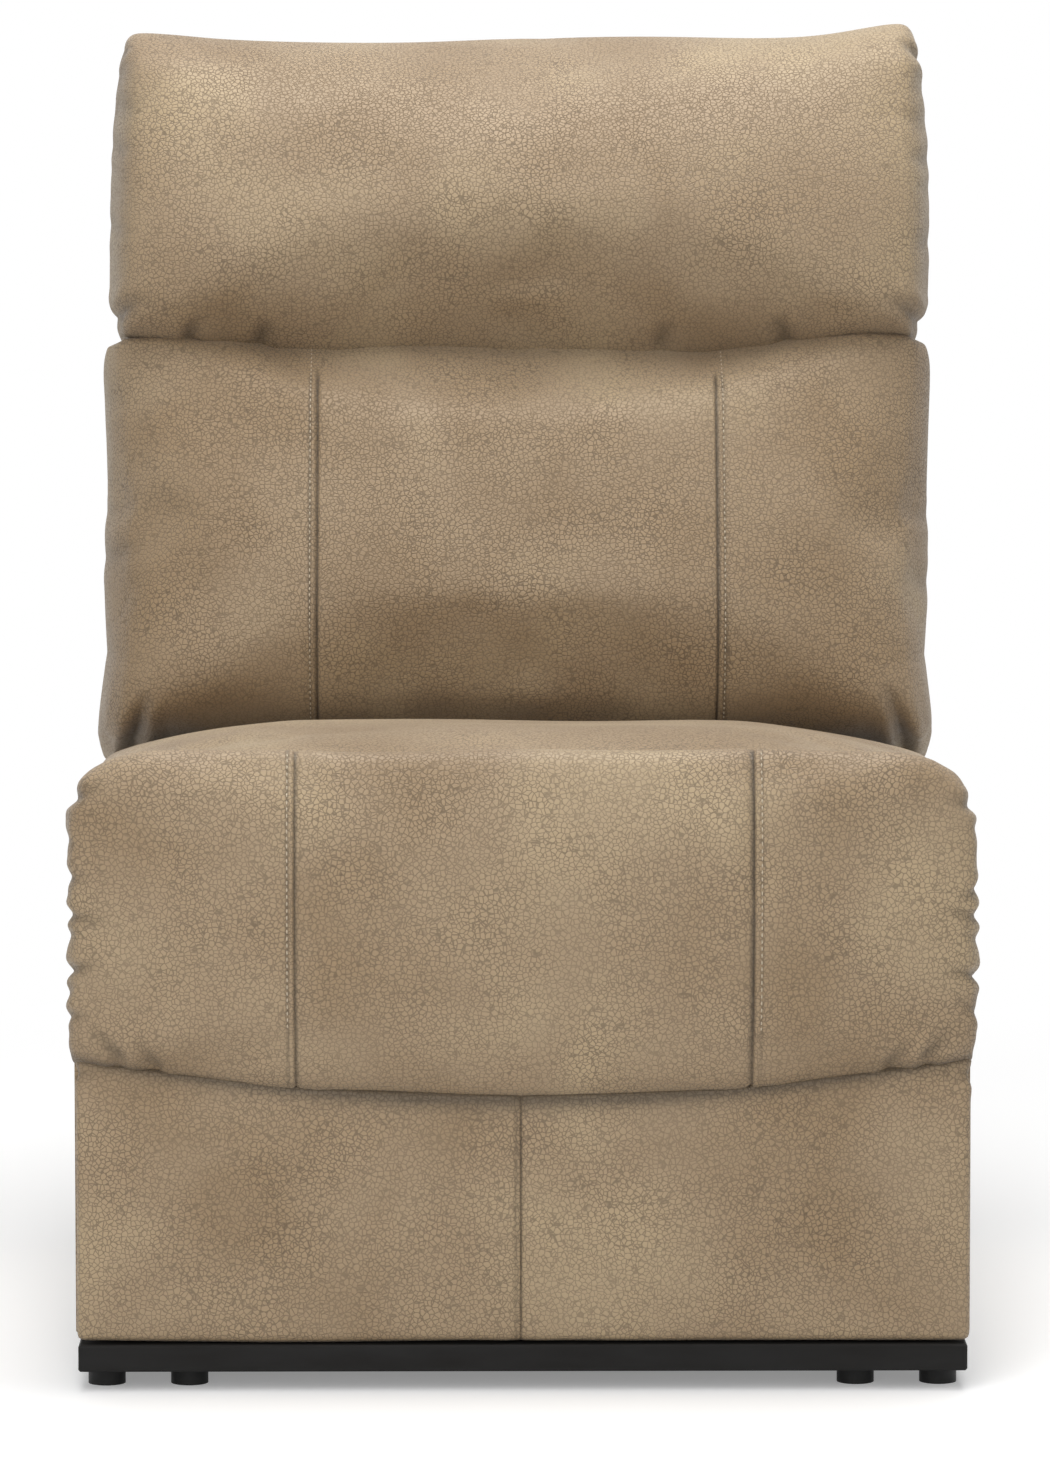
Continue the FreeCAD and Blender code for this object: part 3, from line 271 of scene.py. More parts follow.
@dataclass(frozen=True)
class Grained(Finish):
    """A finish whose colour runs over two shades of noise, with a relief of its own.

    Painted board, moulded plastic, enamel and plated steel are all made of it, each with its own colours,
    scale, roughness and relief.
    """

    name: str
    dark: str
    light: str
    spot: float
    stretch: tuple[float, float, float] = (1.0, 1.0, 1.0)
    rough: tuple[float, float] = (0.4, 0.6)
    relief: float = 0.1
    depth: float = 0.0002
    metallic: float = 0.0
    ior: float = 1.5

    def shade(self, tree: bpy.types.NodeTree, place: bpy.types.NodeSocket) -> bpy.types.NodeSocket:
        """Build two shades of noise that drive the colour, the gloss and the relief.

        Args:
            tree: the material's node tree.
            place: position on the piece in mm.

        Returns:
            The shader socket.
        """
        along = add_node(tree, "ShaderNodeVectorMath", {"operation": "MULTIPLY"}, {0: place, 1: self.stretch})
        spots = add_node(tree, "ShaderNodeTexNoise", inputs={
            "Vector": along.outputs["Vector"], "Scale": 1 / self.spot, "Detail": 4.0, "Roughness": 0.6})
        colour = ramp(tree, spots.outputs["Fac"], [(0.35, self.dark), (0.65, self.light)])
        gloss = add_node(tree, "ShaderNodeMapRange", inputs={
            "Value": spots.outputs["Fac"], "From Min": 0.3, "From Max": 0.7, "To Min": self.rough[0],
            "To Max": self.rough[1]})
        bumps = add_node(tree, "ShaderNodeBump", inputs={
            "Strength": self.relief, "Distance": self.depth, "Height": spots.outputs["Fac"]})
        coat = add_node(tree, "ShaderNodeBsdfPrincipled", inputs={
            "Base Color": colour, "Roughness": gloss.outputs["Result"], "Normal": bumps.outputs["Normal"],
            "Metallic": self.metallic, "IOR": self.ior})
        return coat.outputs["BSDF"]


@dataclass(frozen=True)
class WovenWebbing(Finish):
    """Plain-woven webbing of rubber and polyester yarns: small over-and-under blocks with dark gaps."""

    name: str
    dark: str
    light: str
    yarn: float = 2.4

    def shade(self, tree: bpy.types.NodeTree, place: bpy.types.NodeSocket) -> bpy.types.NodeSocket:
        """Build the weave as fuzzy blocks.

        Args:
            tree: the material's node tree.
            place: position on the piece in mm.

        Returns:
            The shader socket.
        """
        weave = add_node(tree, "ShaderNodeTexChecker", inputs={"Vector": place, "Scale": 1 / self.yarn})
        fuzz = add_node(tree, "ShaderNodeTexNoise", inputs={"Vector": place, "Scale": 0.6, "Detail": 3.0})
        mixed = add_node(tree, "ShaderNodeMath", {"operation": "MULTIPLY_ADD"}, {
            0: fuzz.outputs["Fac"], 1: 0.5, 2: weave.outputs["Fac"]})
        colour = ramp(tree, mixed.outputs["Value"], [(0.1, self.dark), (1.0, self.light)])
        relief = add_node(tree, "ShaderNodeBump", inputs={
            "Strength": 0.5, "Distance": 0.0004, "Height": mixed.outputs["Value"]})
        yarn = add_node(tree, "ShaderNodeBsdfPrincipled", inputs={
            "Base Color": colour, "Roughness": 0.85, "Normal": relief.outputs["Normal"],
            "Sheen Weight": 0.25})
        return yarn.outputs["BSDF"]


LEATHER = PebbledLeather()
THREAD = SewingThread()
# Birch plywood, sanded and bare: pale, with the grain along its length
PLYWOOD = Grained("bare_birch_plywood", "#a98a5c", "#cbb083", 9.0, (0.08, 1.0, 1.0), (0.55, 0.75), 0.25)
# Board painted black with a brush: slightly uneven, dull
PAINTED_BOARD = Grained("black_painted_board", "#060504", "#0c0a08", 14.0, (0.2, 1.0, 1.0), (0.6, 0.8), 0.2,
                        ior=1.35)
# Moulded polypropylene: fine spark-eroded texture
PLASTIC = Grained("moulded_black_plastic", "#060605", "#0c0b0a", 1.4, (1.0, 1.0, 1.0), (0.5, 0.65), 0.3,
                  ior=1.4)
# Black stove enamel on pressed steel: smooth, with a little orange peel
ENAMEL = Grained("black_stove_enamel", "#111110", "#1d1d1c", 5.0, (1.0, 1.0, 1.0), (0.22, 0.34), 0.12)
# Zinc plate with a blue passivation: cloudy grey metal
ZINC = Grained("zinc_plated_steel", "#8f9499", "#b6babd", 6.0, (1.0, 1.0, 1.0), (0.25, 0.4), 0.1,
               metallic=1.0)
# Rubber and polyester webbing: dark, with pale yarns
WEBBING = WovenWebbing("elastic_seat_webbing", "#14120f", "#4a443b")
# Nylon strap: finer, almost black
PULL_STRAP = WovenWebbing("woven_pull_strap", "#0e0d0b", "#2b2823", 1.8)

# Where the back's hinge lies behind and above the origin, in mm, and how far the back leans at rest
HINGE = (190.0, 340.0)
LEAN = math.radians(15)
# Half the chair's width, and how high the calf pad's lower edge lies in the middle and then rises, in mm
HALF_WIDTH = 333.0
TUCK_LOWEST = 216.0
TUCK_RISE = 35.0
# How far outwards from a seam the cover is scored, in mm: its groove, then its topstitching
SEAM_LINES = (-1.6, -0.8, 0.0, 0.8, 1.6, 4.6, 5.8, 7.0)
# How far from a scored line a face may lie to be cut by it, in mm
SCORED_BAND = 12.0
# How far outside its seam a row of topstitching runs, in mm
STITCH_STEP = 5.8


@dataclass(frozen=True)
class Crease:
    """A fold pressed into a cover, as seen from the front, in mm: deepest at its start, fading to its end."""

    start: tuple[float, float]
    end: tuple[float, float]
    width: float = 4.0
    depth: float = 3.0


class Surface:
    """The vertices and normals of one cover in mm, while it is shaped.

    A crease wanders up and down by up to fold_wander as it runs to the rear, and fades over fold_fade until
    only fold_rest of its depth is left, so that the sides show loose folds and no level ribs. Shade is
    painted into the folds, seams and tucks, darkening the leather by up to darkest.
    """

    fold_wander: float = 16.0
    fold_fade: float = 130.0
    fold_rest: float = 0.12
    # the most painted shade that a crease, seam or tuck gets
    darkest: float = 0.9

    def __init__(self, piece: bpy.types.Object) -> None:
        """Read the piece's vertices and normals.

        Args:
            piece: the cover that is shaped.
        """
        self.mesh = piece.data
        count = len(self.mesh.vertices)
        flat = np.empty(count * 3)
        self.mesh.vertices.foreach_get("co", flat)
        self.places = flat.reshape(count, 3) * 1000
        self.read_normals()
        # how much shade is painted on each vertex
        self.painted_shade = np.zeros(count)

    def read_normals(self) -> None:
        """Read the vertices' normals as the mesh now stands."""
        normals = np.empty(len(self.mesh.vertices) * 3)
        self.mesh.vertices.foreach_get("normal", normals)
        self.normals = normals.reshape(-1, 3)

    def write(self) -> None:
        """Put the vertices back in the mesh."""
        self.mesh.vertices.foreach_set("co", (self.places * MM).ravel())
        self.mesh.update()
        self.read_normals()

    def fit(self, node: str) -> None:
        """Stretch the settled cover until it fills the CAD solid's box again.

        Args:
            node: the CAD node that the cover stands for.
        """
        low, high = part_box(node)
        for axis in range(3):
            least, most = self.places[:, axis].min(), self.places[:, axis].max()
            share = (self.places[:, axis] - least) / (most - least)
            self.places[:, axis] = (low[axis] + (high[axis] - low[axis]) * share) * 1000

    def move(self, depth: np.ndarray) -> None:
        """Move each vertex outwards along its normal by its own depth in mm."""
        self.places += self.normals * depth[:, None]

    def lumps(self, size: float, height: float, seed: float) -> None:
        """Raise and lower the surface in soft lumps, as stuffing does.

        Args:
            size: about how far apart the lumps are, in mm.
            height: the most that a lump rises or falls, in mm.
            seed: shifts the pattern, so that no two pieces match.
        """
        shift = Vector((seed, seed * 1.7, seed * 0.6))
        rise = np.array([noise.noise(Vector(place) / size + shift) for place in self.places])
        self.move(rise * height)

    def press(self, creases: list[Crease]) -> None:
        """Press creases into the surface, puff it beside them and paint shade into them.

        Args:
            creases: the folds, as seen from the front.
        """
        depth = np.zeros(len(self.places))
        seen = self.places[:, (0, 2)].copy()
        drift = [noise.noise(Vector((place[1] / 50, place[2] / 130, 2.2))) for place in self.places]
        seen[:, 1] += np.array(drift) * self.fold_wander
        behind = self.places[:, 1] - self.places[:, 1].min()
        reach = np.clip(1.5 - behind / self.fold_fade, self.fold_rest, 1)
        for crease in creases:
            start = np.array(crease.start)
            run = np.array(crease.end) - start
            along = np.clip(((seen - start) @ run) / (run @ run), 0, 1)
            away = np.linalg.norm(seen - start - along[:, None] * run, axis=1)
            fade = 1 - along ** 1.5
            fold = np.exp(-(away / crease.width) ** 2)
            puff = np.exp(-((away - crease.width * 2.1) / crease.width) ** 2)
            depth += crease.depth * fade * reach * (0.38 * puff - fold)
            # Painted shade in the crease, deepest where the fold is
            self.painted_shade = np.maximum(self.painted_shade, fold * fade * reach * min(crease.depth / 6, 0.5))
        self.move(depth)

    def store_painted_shade(self) -> None:
        """Store how much shade is painted on each vertex, in folds, seams and tucks, which the leather reads
        as darker.
        """
        mark = self.mesh.attributes.new("painted_shade", "FLOAT", "POINT")
        mark.data.foreach_set("value", np.clip(self.painted_shade, 0, self.darkest))


def mesh_object(name: str, form: bmesh.types.BMesh) -> bpy.types.Object:
    """Make an object from a bmesh, in place and shaded smooth.

    Args:
        name: the piece's name.
        form: the bmesh, which is freed.

    Returns:
        The new object.
    """
    mesh = bpy.data.meshes.new(name)
    form.to_mesh(mesh)
    form.free()
    piece = bpy.data.objects.new(name, mesh)
    bpy.context.scene.collection.objects.link(piece)
    mesh.shade_smooth()
    return piece


def copy_of(node: str) -> bmesh.types.BMesh:
    """Copy a CAD node's form and join its loose triangles.

    Args:
        node: the CAD node's name.

    Returns:
        The copy as a bmesh.
    """
    form = bmesh.new()
    form.from_mesh(frame["nodes"][node].data)
    bmesh.ops.remove_doubles(form, verts=form.verts, dist=1e-5)
    return form


def settled(piece: bpy.types.Object) -> None:
    """Bake the piece's modifiers into its mesh and take them off.

    Args:
        piece: the object with the modifiers.
    """
    graph = bpy.context.evaluated_depsgraph_get()
    baked = bpy.data.meshes.new_from_object(piece.evaluated_get(graph), depsgraph=graph)
    piece.modifiers.clear()
    piece.data = baked
    piece.data.shade_smooth()


def softened(piece: bpy.types.Object, rounds: int) -> None:
    """Smooth the piece's vertices.

    Args:
        piece: the object to smooth.
        rounds: how many times it is smoothed.
    """
    form = bmesh.new()
    form.from_mesh(piece.data)
    for _ in range(rounds):
        bmesh.ops.smooth_vert(form, verts=form.verts, factor=0.5, use_axis_x=True, use_axis_y=True,
                              use_axis_z=True)
    form.to_mesh(piece.data)
    form.free()


def remeshed(piece: bpy.types.Object, voxel: float, rounds: int) -> None:
    """Give the piece an even mesh and soften its edges.

    Args:
        piece: the object to remesh.
        voxel: the mesh size in mm.
        rounds: how many times its corners are smoothed.
    """
    even = piece.modifiers.new("even", "REMESH")
    even.mode = "VOXEL"
    even.voxel_size = voxel * MM
    settled(piece)
    softened(piece, rounds)


def subdivided(piece: bpy.types.Object, busy: float) -> None:
    """Divide the piece's faces once, smoothly, and once more near its sides, where its folds are.

    Args:
        piece: the piece to divide.
        busy: how far from the middle the sides begin, in mm.
    """
    finer = piece.modifiers.new("finer", "SUBSURF")
    finer.levels = 1
    finer.render_levels = 1
    settled(piece)
    form = bmesh.new()
    form.from_mesh(piece.data)
    sides = [edge for edge in form.edges if all(abs(corner.co.x) > busy * MM for corner in edge.verts)]
    bmesh.ops.subdivide_edges(form, edges=sides, cuts=1, use_grid_fill=True, smooth=0.0)
    bmesh.ops.triangulate(form, faces=[face for face in form.faces if len(face.verts) > 4])
    form.to_mesh(piece.data)
    form.free()


@dataclass(frozen=True)
class CoverCloth:
    """How the leather on its backing behaves as cloth while a cover is stuffed."""

    quality: int = 4
    mass: float = 0.35
    tension: float = 30.0
    compression: float = 20.0
    shear: float = 12.0
    bending: float = 3.0
    staple_stiffness: float = 20.0
    steps: int = 20

    def stuff(self, piece: bpy.types.Object, held: np.ndarray, pressure: float, cap: float) -> None:
        """Blow the cover up as cloth round its stuffing, and keep how it settles.

        Args:
            piece: the cover.
            held: for each vertex, 1 where it is stapled to what carries it and 0 where it is free.
            pressure: the stuffing's pressure.
            cap: the furthest that a point may move, in mm.
        """
        before = np.empty(len(piece.data.vertices) * 3)
        piece.data.vertices.foreach_get("co", before)
        stapled = piece.vertex_groups.new(name="stapled")
        stapled.add([int(index) for index in np.nonzero(held > 0.5)[0]], 1.0, "REPLACE")
        cloth = piece.modifiers.new("cloth", "CLOTH")
        cloth.settings.quality = self.quality
        cloth.settings.mass = self.mass
        cloth.settings.tension_stiffness = self.tension
        cloth.settings.compression_stiffness = self.compression
        cloth.settings.shear_stiffness = self.shear
        cloth.settings.bending_stiffness = self.bending
        cloth.settings.use_pressure = True
        cloth.settings.uniform_pressure_force = pressure
        cloth.settings.effector_weights.gravity = 0
        cloth.settings.vertex_group_mass = "stapled"
        cloth.settings.pin_stiffness = self.staple_stiffness
        scene = bpy.context.scene
        for step in range(1, self.steps + 1):
            scene.frame_set(step)
        settled(piece)
        scene.frame_set(1)
        after = np.empty(len(before))
        piece.data.vertices.foreach_get("co", after)
        shift = (after - before).reshape(-1, 3) * 1000
        length = np.linalg.norm(shift, axis=1)
        kept = np.where(length > cap, cap / np.maximum(length, 1e-6), 1.0)
        piece.data.vertices.foreach_set("co", before + (shift * kept[:, None] * MM).ravel())
        piece.data.update()


def scored(piece: bpy.types.Object, seams: tuple[float, ...]) -> None:
    """Cut edge lines into the cover along upright seams, so that the seams can be pressed in sharply.

    Args:
        piece: the cover.
        seams: where the seams lie, across, in mm.
    """
    form = bmesh.new()
    form.from_mesh(piece.data)
    for seam in seams:
        for step in SEAM_LINES:
            place = (seam + step * math.copysign(1, seam)) * MM
            near = [face for face in form.faces
                    if abs(face.calc_center_median().x - place) < SCORED_BAND * MM]
            edges = dict.fromkeys(edge for face in near for edge in face.edges)
            corners = dict.fromkeys(corner for face in near for corner in face.verts)
            bmesh.ops.bisect_plane(form, geom=list(corners) + list(edges) + near, dist=1e-5,
                                   plane_co=(place, 0, 0), plane_no=(1, 0, 0))
    form.to_mesh(piece.data)
    form.free()


@dataclass
class Seam:
    """A sewn seam that runs up a cover, with its flap topstitched on the outer side."""

    across: float
    flap: float = 7.0
    depth: float = 2.6
    raised: float = 0.7
    swell: float = 1.2
    stitch_dip: float = 0.8
    groove_half: float = 1.2
    stitch_half: float = 1.3
    swell_at: float = 14.0
    swell_half: float = 12.0

    def press(self, surface: Surface, band: tuple[float, float], front: float) -> None:
        """Sink the seam, raise its flap and paint shade into its groove and stitch line.

        Args:
            surface: the cover's surface.
            band: the lowest and highest z that it runs over, in mm.
            front: only the part of the cover in front of this y has the seam.
        """
        side = 1 if self.across >= 0 else -1
        off = (surface.places[:, 0] - self.across) * side
        height = surface.places[:, 2]
        reach = np.clip((height - band[0]) / 8, 0, 1) * np.clip((band[1] - height) / 8, 0, 1)
        reach *= np.clip((front - surface.places[:, 1]) / 10, 0, 1)
        groove = np.exp(-(off / self.groove_half) ** 2)
        flap = np.clip(off / 2, 0, 1) * np.clip((self.flap + 1.5 - off) / 3, 0, 1)
        from_stitches = off - self.flap + 1.2
        stitches = np.exp(-(from_stitches / self.stitch_half) ** 2)
        swell = np.exp(-((np.abs(off) - self.swell_at) / self.swell_half) ** 2) * self.swell
        surface.move(reach * (self.raised * flap + swell - self.depth * groove - self.stitch_dip * stitches))
        # Painted shade in the seam's groove and along its stitch holes
        dark = 0.9 * np.exp(-(off / 0.8) ** 2) + 0.6 * np.exp(-from_stitches ** 2)
        surface.painted_shade = np.maximum(surface.painted_shade, reach * dark)


@dataclass
class Stitching:
    """A row of lockstitches laid on a cover."""

    pitch: float = 5.0
    length: float = 3.4
    radius: float = 0.6

    def sew(self, name: str, cover: bpy.types.Object,
            rays: list[list[tuple[Vector, Vector]]]) -> bpy.types.Object:
        """Lay a stitch wherever the row's rays meet the cover.

        Args:
            name: the new piece's name.
            cover: the cover that is sewn.
            rays: for each row, rays as a point and a direction, in m.

        Returns:
            One object that holds every stitch.
        """
        form = bmesh.new()
        form.from_mesh(cover.data)
        tree = BVHTree.FromBMesh(form)
        form.free()
        rows = []
        for row in rays:
            hits = [tree.ray_cast(start, direction) for start, direction in row]
            rows.append([(place, normal) for place, normal, _, _ in hits if place is not None])
        thread = bmesh.new()
        for row in rows:
            since = 0.0
            for (place, normal), (following, _) in zip(row, row[1:]):
                run = following - place
                since += run.length / MM
                if since < self.pitch or run.length > 4 * MM:
                    continue
                since = 0.0
                along = run.normalized()
                across = along.cross(normal).normalized()
                up = across.cross(along)
                turn = Matrix((along, across, up)).transposed().to_4x4()
                size = Matrix.Diagonal((self.length / 2 * MM, self.radius * MM, self.radius * MM, 1))
                centre = Matrix.Translation(place + normal * self.radius * 0.3 * MM)
                bmesh.ops.create_uvsphere(thread, u_segments=6, v_segments=4, radius=1,
                                          matrix=centre @ turn @ size)
        piece = mesh_object(name, thread)
        THREAD.dress(piece)
        return piece


@dataclass
class PaddedCover:
    """A stuffed leather cover that stands for one soft solid of the chair."""

    node: str
    body: Body
    voxel: float = 8.0
    rounds: int = 4
    shrink: float = 5.0
    pressure: float = 1.6
    cap: float = 22.0
    fill: float = 0.7
    busy: float = 265.0
    seams: tuple[float, ...] = ()

    def held(self, surface: Surface) -> np.ndarray:
        """Say which vertices are stapled down. Every kind of cover has its own."""
        raise NotImplementedError

    def shape(self, surface: Surface) -> None:
        """Shape the settled cover. Every kind of cover has its own."""
        raise NotImplementedError

    def stitch_rows(self) -> list[list[tuple[Vector, Vector]]]:
        """Return the rays along which rows of stitches are laid, or none."""
        return []

    def blank(self) -> bpy.types.Object:
        """Make the cover's even mesh from the CAD solid, settle it as cloth, divide it and score its seams.

        Returns:
            The blank cover.
        """
        piece = mesh_object(self.node + "_cover", copy_of(self.node))
        remeshed(piece, self.voxel, self.rounds)
        surface = Surface(piece)
        held = self.held(surface)
        surface.move((held - 1) * self.shrink)
        surface.write()
        CoverCloth().stuff(piece, held, self.pressure, self.cap)
        softened(piece, self.rounds)
        subdivided(piece, self.busy)
        scored(piece, self.seams)
        return piece

    def build(self) -> bpy.types.Object:
        """Make the cover, shape it, dress it and fix it to its body.

        Returns:
            The finished cover.
        """
        piece = self.blank()
        surface = Surface(piece)
        surface.fit(self.node)
        surface.write()
        self.shape(surface)
        surface.store_painted_shade()
        surface.write()
        LEATHER.dress(piece)
        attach(piece, self.body)
        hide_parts(self.node)
        rows = self.stitch_rows()
        if rows:
            thread = Stitching().sew(self.node + "_topstitching", piece, rows)
            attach(thread, self.body)
        low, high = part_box(self.node)
        log.info("%s: %d faces, stands for a solid %.0f mm across", piece.name, len(piece.data.polygons),
                 (high.x - low.x) * 1000)
        return piece


def upright(surface: Surface) -> np.ndarray:
    """Measure the vertices from the back's hinge, with the back stood upright.

    Args:
        surface: the cover's surface.

    Returns:
        For each vertex, how far it lies behind and above the hinge, in mm.
    """
    behind = surface.places[:, 1] - HINGE[0]
    above = surface.places[:, 2] - HINGE[1]
    return np.stack((behind * math.cos(LEAN) - above * math.sin(LEAN),
                     behind * math.sin(LEAN) + above * math.cos(LEAN)), axis=1)


def tuck_line(across: np.ndarray) -> np.ndarray:
    """Return the height of the pad's lower edge in mm, at each place across: lowest in the middle."""
    return TUCK_LOWEST + TUCK_RISE * (across / HALF_WIDTH) ** 2


@dataclass
class CalfPad(PaddedCover):
    """The rolled pad on the footrest, with two seams, gathered sides and a tucked lower edge."""

    node: str = "calf_pad"
    body: Body = Body.FOOTREST
    board_front: float = -432.0
    front: float = -436.0
    middle: tuple[float, float] = (-430.0, 345.0)
    seams: tuple[float, ...] = (-168.5, 170.0)
    gathers: tuple[float, ...] = (434, 413, 381, 366, 357, 335, 321, 313, 290, 281, 262)
    depths: tuple[float, ...] = (4.4, 2.2, 3.2, 1.8, 3.8, 2.6, 1.6)
    runs: tuple[float, ...] = (36, 14, 26, 12, 40, 18, 10)
    left_leans: tuple[float, ...] = (14, -9, 6, 17, -6)
    right_leans: tuple[float, ...] = (9, 15, -8, 5)

    def held(self, surface: Surface) -> np.ndarray:
        """The cover is stapled to the footrest board at its back."""
        return (surface.places[:, 1] > self.board_front).astype(float)

    def stitch_rows(self) -> list[list[tuple[Vector, Vector]]]:
        """Aim a fan of rays at each seam's flap, from inside the pad.

        Returns:
            A row of rays for each seam.
        """
        rows = []
        for across in self.seams:
            start = Vector((across + math.copysign(STITCH_STEP, across), *self.middle)) * MM
            turns = [math.radians(8 + step * 0.3) for step in range(480)]
            rows.append([(start, Vector((0, -math.sin(turn), math.cos(turn)))) for turn in turns])
        return rows

    def shape(self, surface: Surface) -> None:
        """Press in the seams, the gathers down both sides and the pleats above the tuck, and paint shade
        along the tuck.

        Args:
            surface: the settled cover's surface.
        """
        surface.lumps(150, 3.0, 1.3)
        for across in self.seams:
            Seam(across).press(surface, (200, 500), self.front)
        creases = []
        for index, height in enumerate(self.gathers):
            deep = self.depths[index % len(self.depths)]
            run = self.runs[index % len(self.runs)]
            left = self.left_leans[index % len(self.left_leans)]
            right = self.right_leans[index % len(self.right_leans)]
            creases.append(Crease((-345, height), (-345 + run, height + left), 4.2, deep))
            creases.append(Crease((346, height - 5), (346 - run, height - 5 + right), 4.2, deep))
        for side in (-1, 1):
            creases.append(Crease((side * 300, 246), (side * 322, 272), 5, 3.5))
            creases.append(Crease((side * 272, 240), (side * 290, 262), 5, 2.5))
        surface.press(creases)
        # Painted shade on the pad just above its tucked lower edge, where the roll turns under
        above = surface.places[:, 2] - tuck_line(surface.places[:, 0])
        surface.painted_shade = np.maximum(surface.painted_shade, 0.6 * np.exp(-np.clip(above, 0, None) / 4))


@dataclass
class SeatCushion(PaddedCover):
    """The seat cushion behind the pad: crowned, falling to its sides and under the back."""

    node: str = "seat_cushion"
    body: Body = Body.SEAT
    frame_top: float = 410.0
    gathers: tuple[float, ...] = (424, 436, 447)

    def held(self, surface: Surface) -> np.ndarray:
        """The cover is stapled under its frame."""
        return (surface.places[:, 2] < self.frame_top).astype(float)

    def shape(self, surface: Surface) -> None:
        """Leave soft lumps on top and gathers down both sides.

        Args:
            surface: the settled cover's surface.
        """
        surface.lumps(170, 3.5, 4.1)
        creases = []
        for side in (-1, 1):
            for height in self.gathers:
                creases.append(Crease((side * 345, height), (side * 318, height + 8), 4.0, 2.5))
        surface.press(creases)


@dataclass
class BackCushion(PaddedCover):
    """The lower back cushion, with two seams and a fold across each lower corner."""

    node: str = "back_cushion"
    body: Body = Body.BACK
    frame_front: float = 18.0
    narrowest: float = 0.5
    flare: float = 13.5
    droop: float = 11.0
    recess: float = 24.0
    sewn: tuple[int, int] = (415, 760)
    seams: tuple[float, ...] = (-162.0, 163.0)

    def held(self, surface: Surface) -> np.ndarray:
        """The cover is stapled to the back frame behind."""
        return (upright(surface)[:, 0] > self.frame_front).astype(float)

    def stitch_rows(self) -> list[list[tuple[Vector, Vector]]]:
        """Aim level rays at each seam's flap from the front.

        Returns:
            A row of rays for each seam.
        """
        rows = []
        for across in self.seams:
            flap = across + math.copysign(STITCH_STEP, across)
            starts = [Vector((flap, -600, height)) * MM for height in range(*self.sewn)]
            rows.append([(start, Vector((0, 1, 0))) for start in starts])
        return rows

    def shape(self, surface: Surface) -> None:
        """Flare the sides, droop the corners, tuck the lower edge away, paint shade on it, and press in the
        seams and folds.

        Args:
            surface: the settled cover's surface.
        """
        across, height = surface.places[:, 0], surface.places[:, 2]
        low, high = np.clip((500 - height) / 60, 0, 1), np.clip((height - 630) / 130, 0, 1)
        flare = self.narrowest + self.flare * low + self.flare * high
        surface.places[:, 0] += np.sign(across) * flare * np.clip((np.abs(across) - 230) / 100, 0, 1)
        side = np.clip((np.abs(surface.places[:, 0]) - 285) / 45, 0, 1)
        surface.places[:, 2] -= self.droop * side * np.clip((490 - surface.places[:, 2]) / 60, 0, 1)
        under = np.clip((480 - surface.places[:, 2]) / 60, 0, 1.2) ** 2 * (1 - side)
        surface.places[:, 1] += self.recess * under
        # Painted shade on the lower edge as it tucks away towards the seat
        surface.painted_shade = np.maximum(surface.painted_shade, 0.42 * np.clip(under, 0, 1))
        surface.lumps(160, 4.0, 7.7)
        for across in self.seams:
            Seam(across).press(surface, (380, 800), 150)
        creases = [Crease((-318, 424), (-300, 474), 6, 9), Crease((323, 426), (300, 480), 6, 9),
                   Crease((-350, 572), (-298, 588), 8, 2.2), Crease((-350, 612), (-306, 620), 7, 1.6),
                   Crease((350, 606), (304, 620), 8, 1.8), Crease((350, 552), (312, 562), 7, 1.6),
                   Crease((-350, 706), (-312, 722), 8, 1.6)]
        surface.press(creases)


@dataclass
class HeadPillow(PaddedCover):
    """The head pillow over the top of the back, with ears at its upper corners and a wavy lower roll."""

    node: str = "head_pillow"
    body: Body = Body.BACK
    frame_front: float = 20.0
    frame_top: float = 648.0
    shift: float = 4.0
    corner_rise: float = 28.0
    wave: float = 5.0
    creases: tuple[float, ...] = (971, 946, 912, 889, 846)
    runs: tuple[float, ...] = (24, 42, 30, 18, 30)
    leans: tuple[float, ...] = (10, 14, 4, 2, -5)
    depths: tuple[float, ...] = (2.6, 1.6, 2.4, 1.3, 1.8)

    def held(self, surface: Surface) -> np.ndarray:
        """The cover is stapled behind and on top of the back frame."""
        place = upright(surface)
        return ((place[:, 0] > self.frame_front) & (place[:, 1] < self.frame_top)).astype(float)

    def shape(self, surface: Surface) -> None:
        """Raise the upper corners, wave the lower roll, gather the sides and fold the corners.

        Args:
            surface: the settled cover's surface.
        """
        surface.places[:, 0] += self.shift
        top = np.clip((surface.places[:, 2] - 940) / 60, 0, 1)
        across = surface.places[:, 0] / 340
        surface.places[:, 2] += top * (self.corner_rise * across ** 6 + 3 * across - 2)
        surface.lumps(170, 4.0, 11.9)
        low = np.clip((830 - surface.places[:, 2]) / 50, 0, 1)
        wave = np.array([noise.noise(Vector((place / 62, 3.3, 0))) for place in surface.places[:, 0]])
        surface.places[:, 2] += wave * self.wave * low
        creases = []
        for height, run, lean, deep in zip(self.creases, self.runs, self.leans, self.depths):
            creases.append(Crease((-346, height - lean / 2), (-346 + run, height + lean), 6, deep))
            creases.append(Crease((346, height - 12), (346 - run * 0.8, height + lean - 6), 7, deep * 0.8))
        creases += [Crease((-340, 764), (-300, 800), 6, 6), Crease((340, 764), (302, 798), 6, 6),
                    Crease((-338, 992), (-318, 1003), 5, 7), Crease((338, 990), (318, 1003), 5, 7),
                    Crease((-268, 758), (-258, 778), 6, 3), Crease((-210, 757), (-200, 772), 6, 3),
                    Crease((222, 757), (212, 776), 6, 3), Crease((120, 756), (126, 770), 7, 2.5)]
        surface.press(creases)


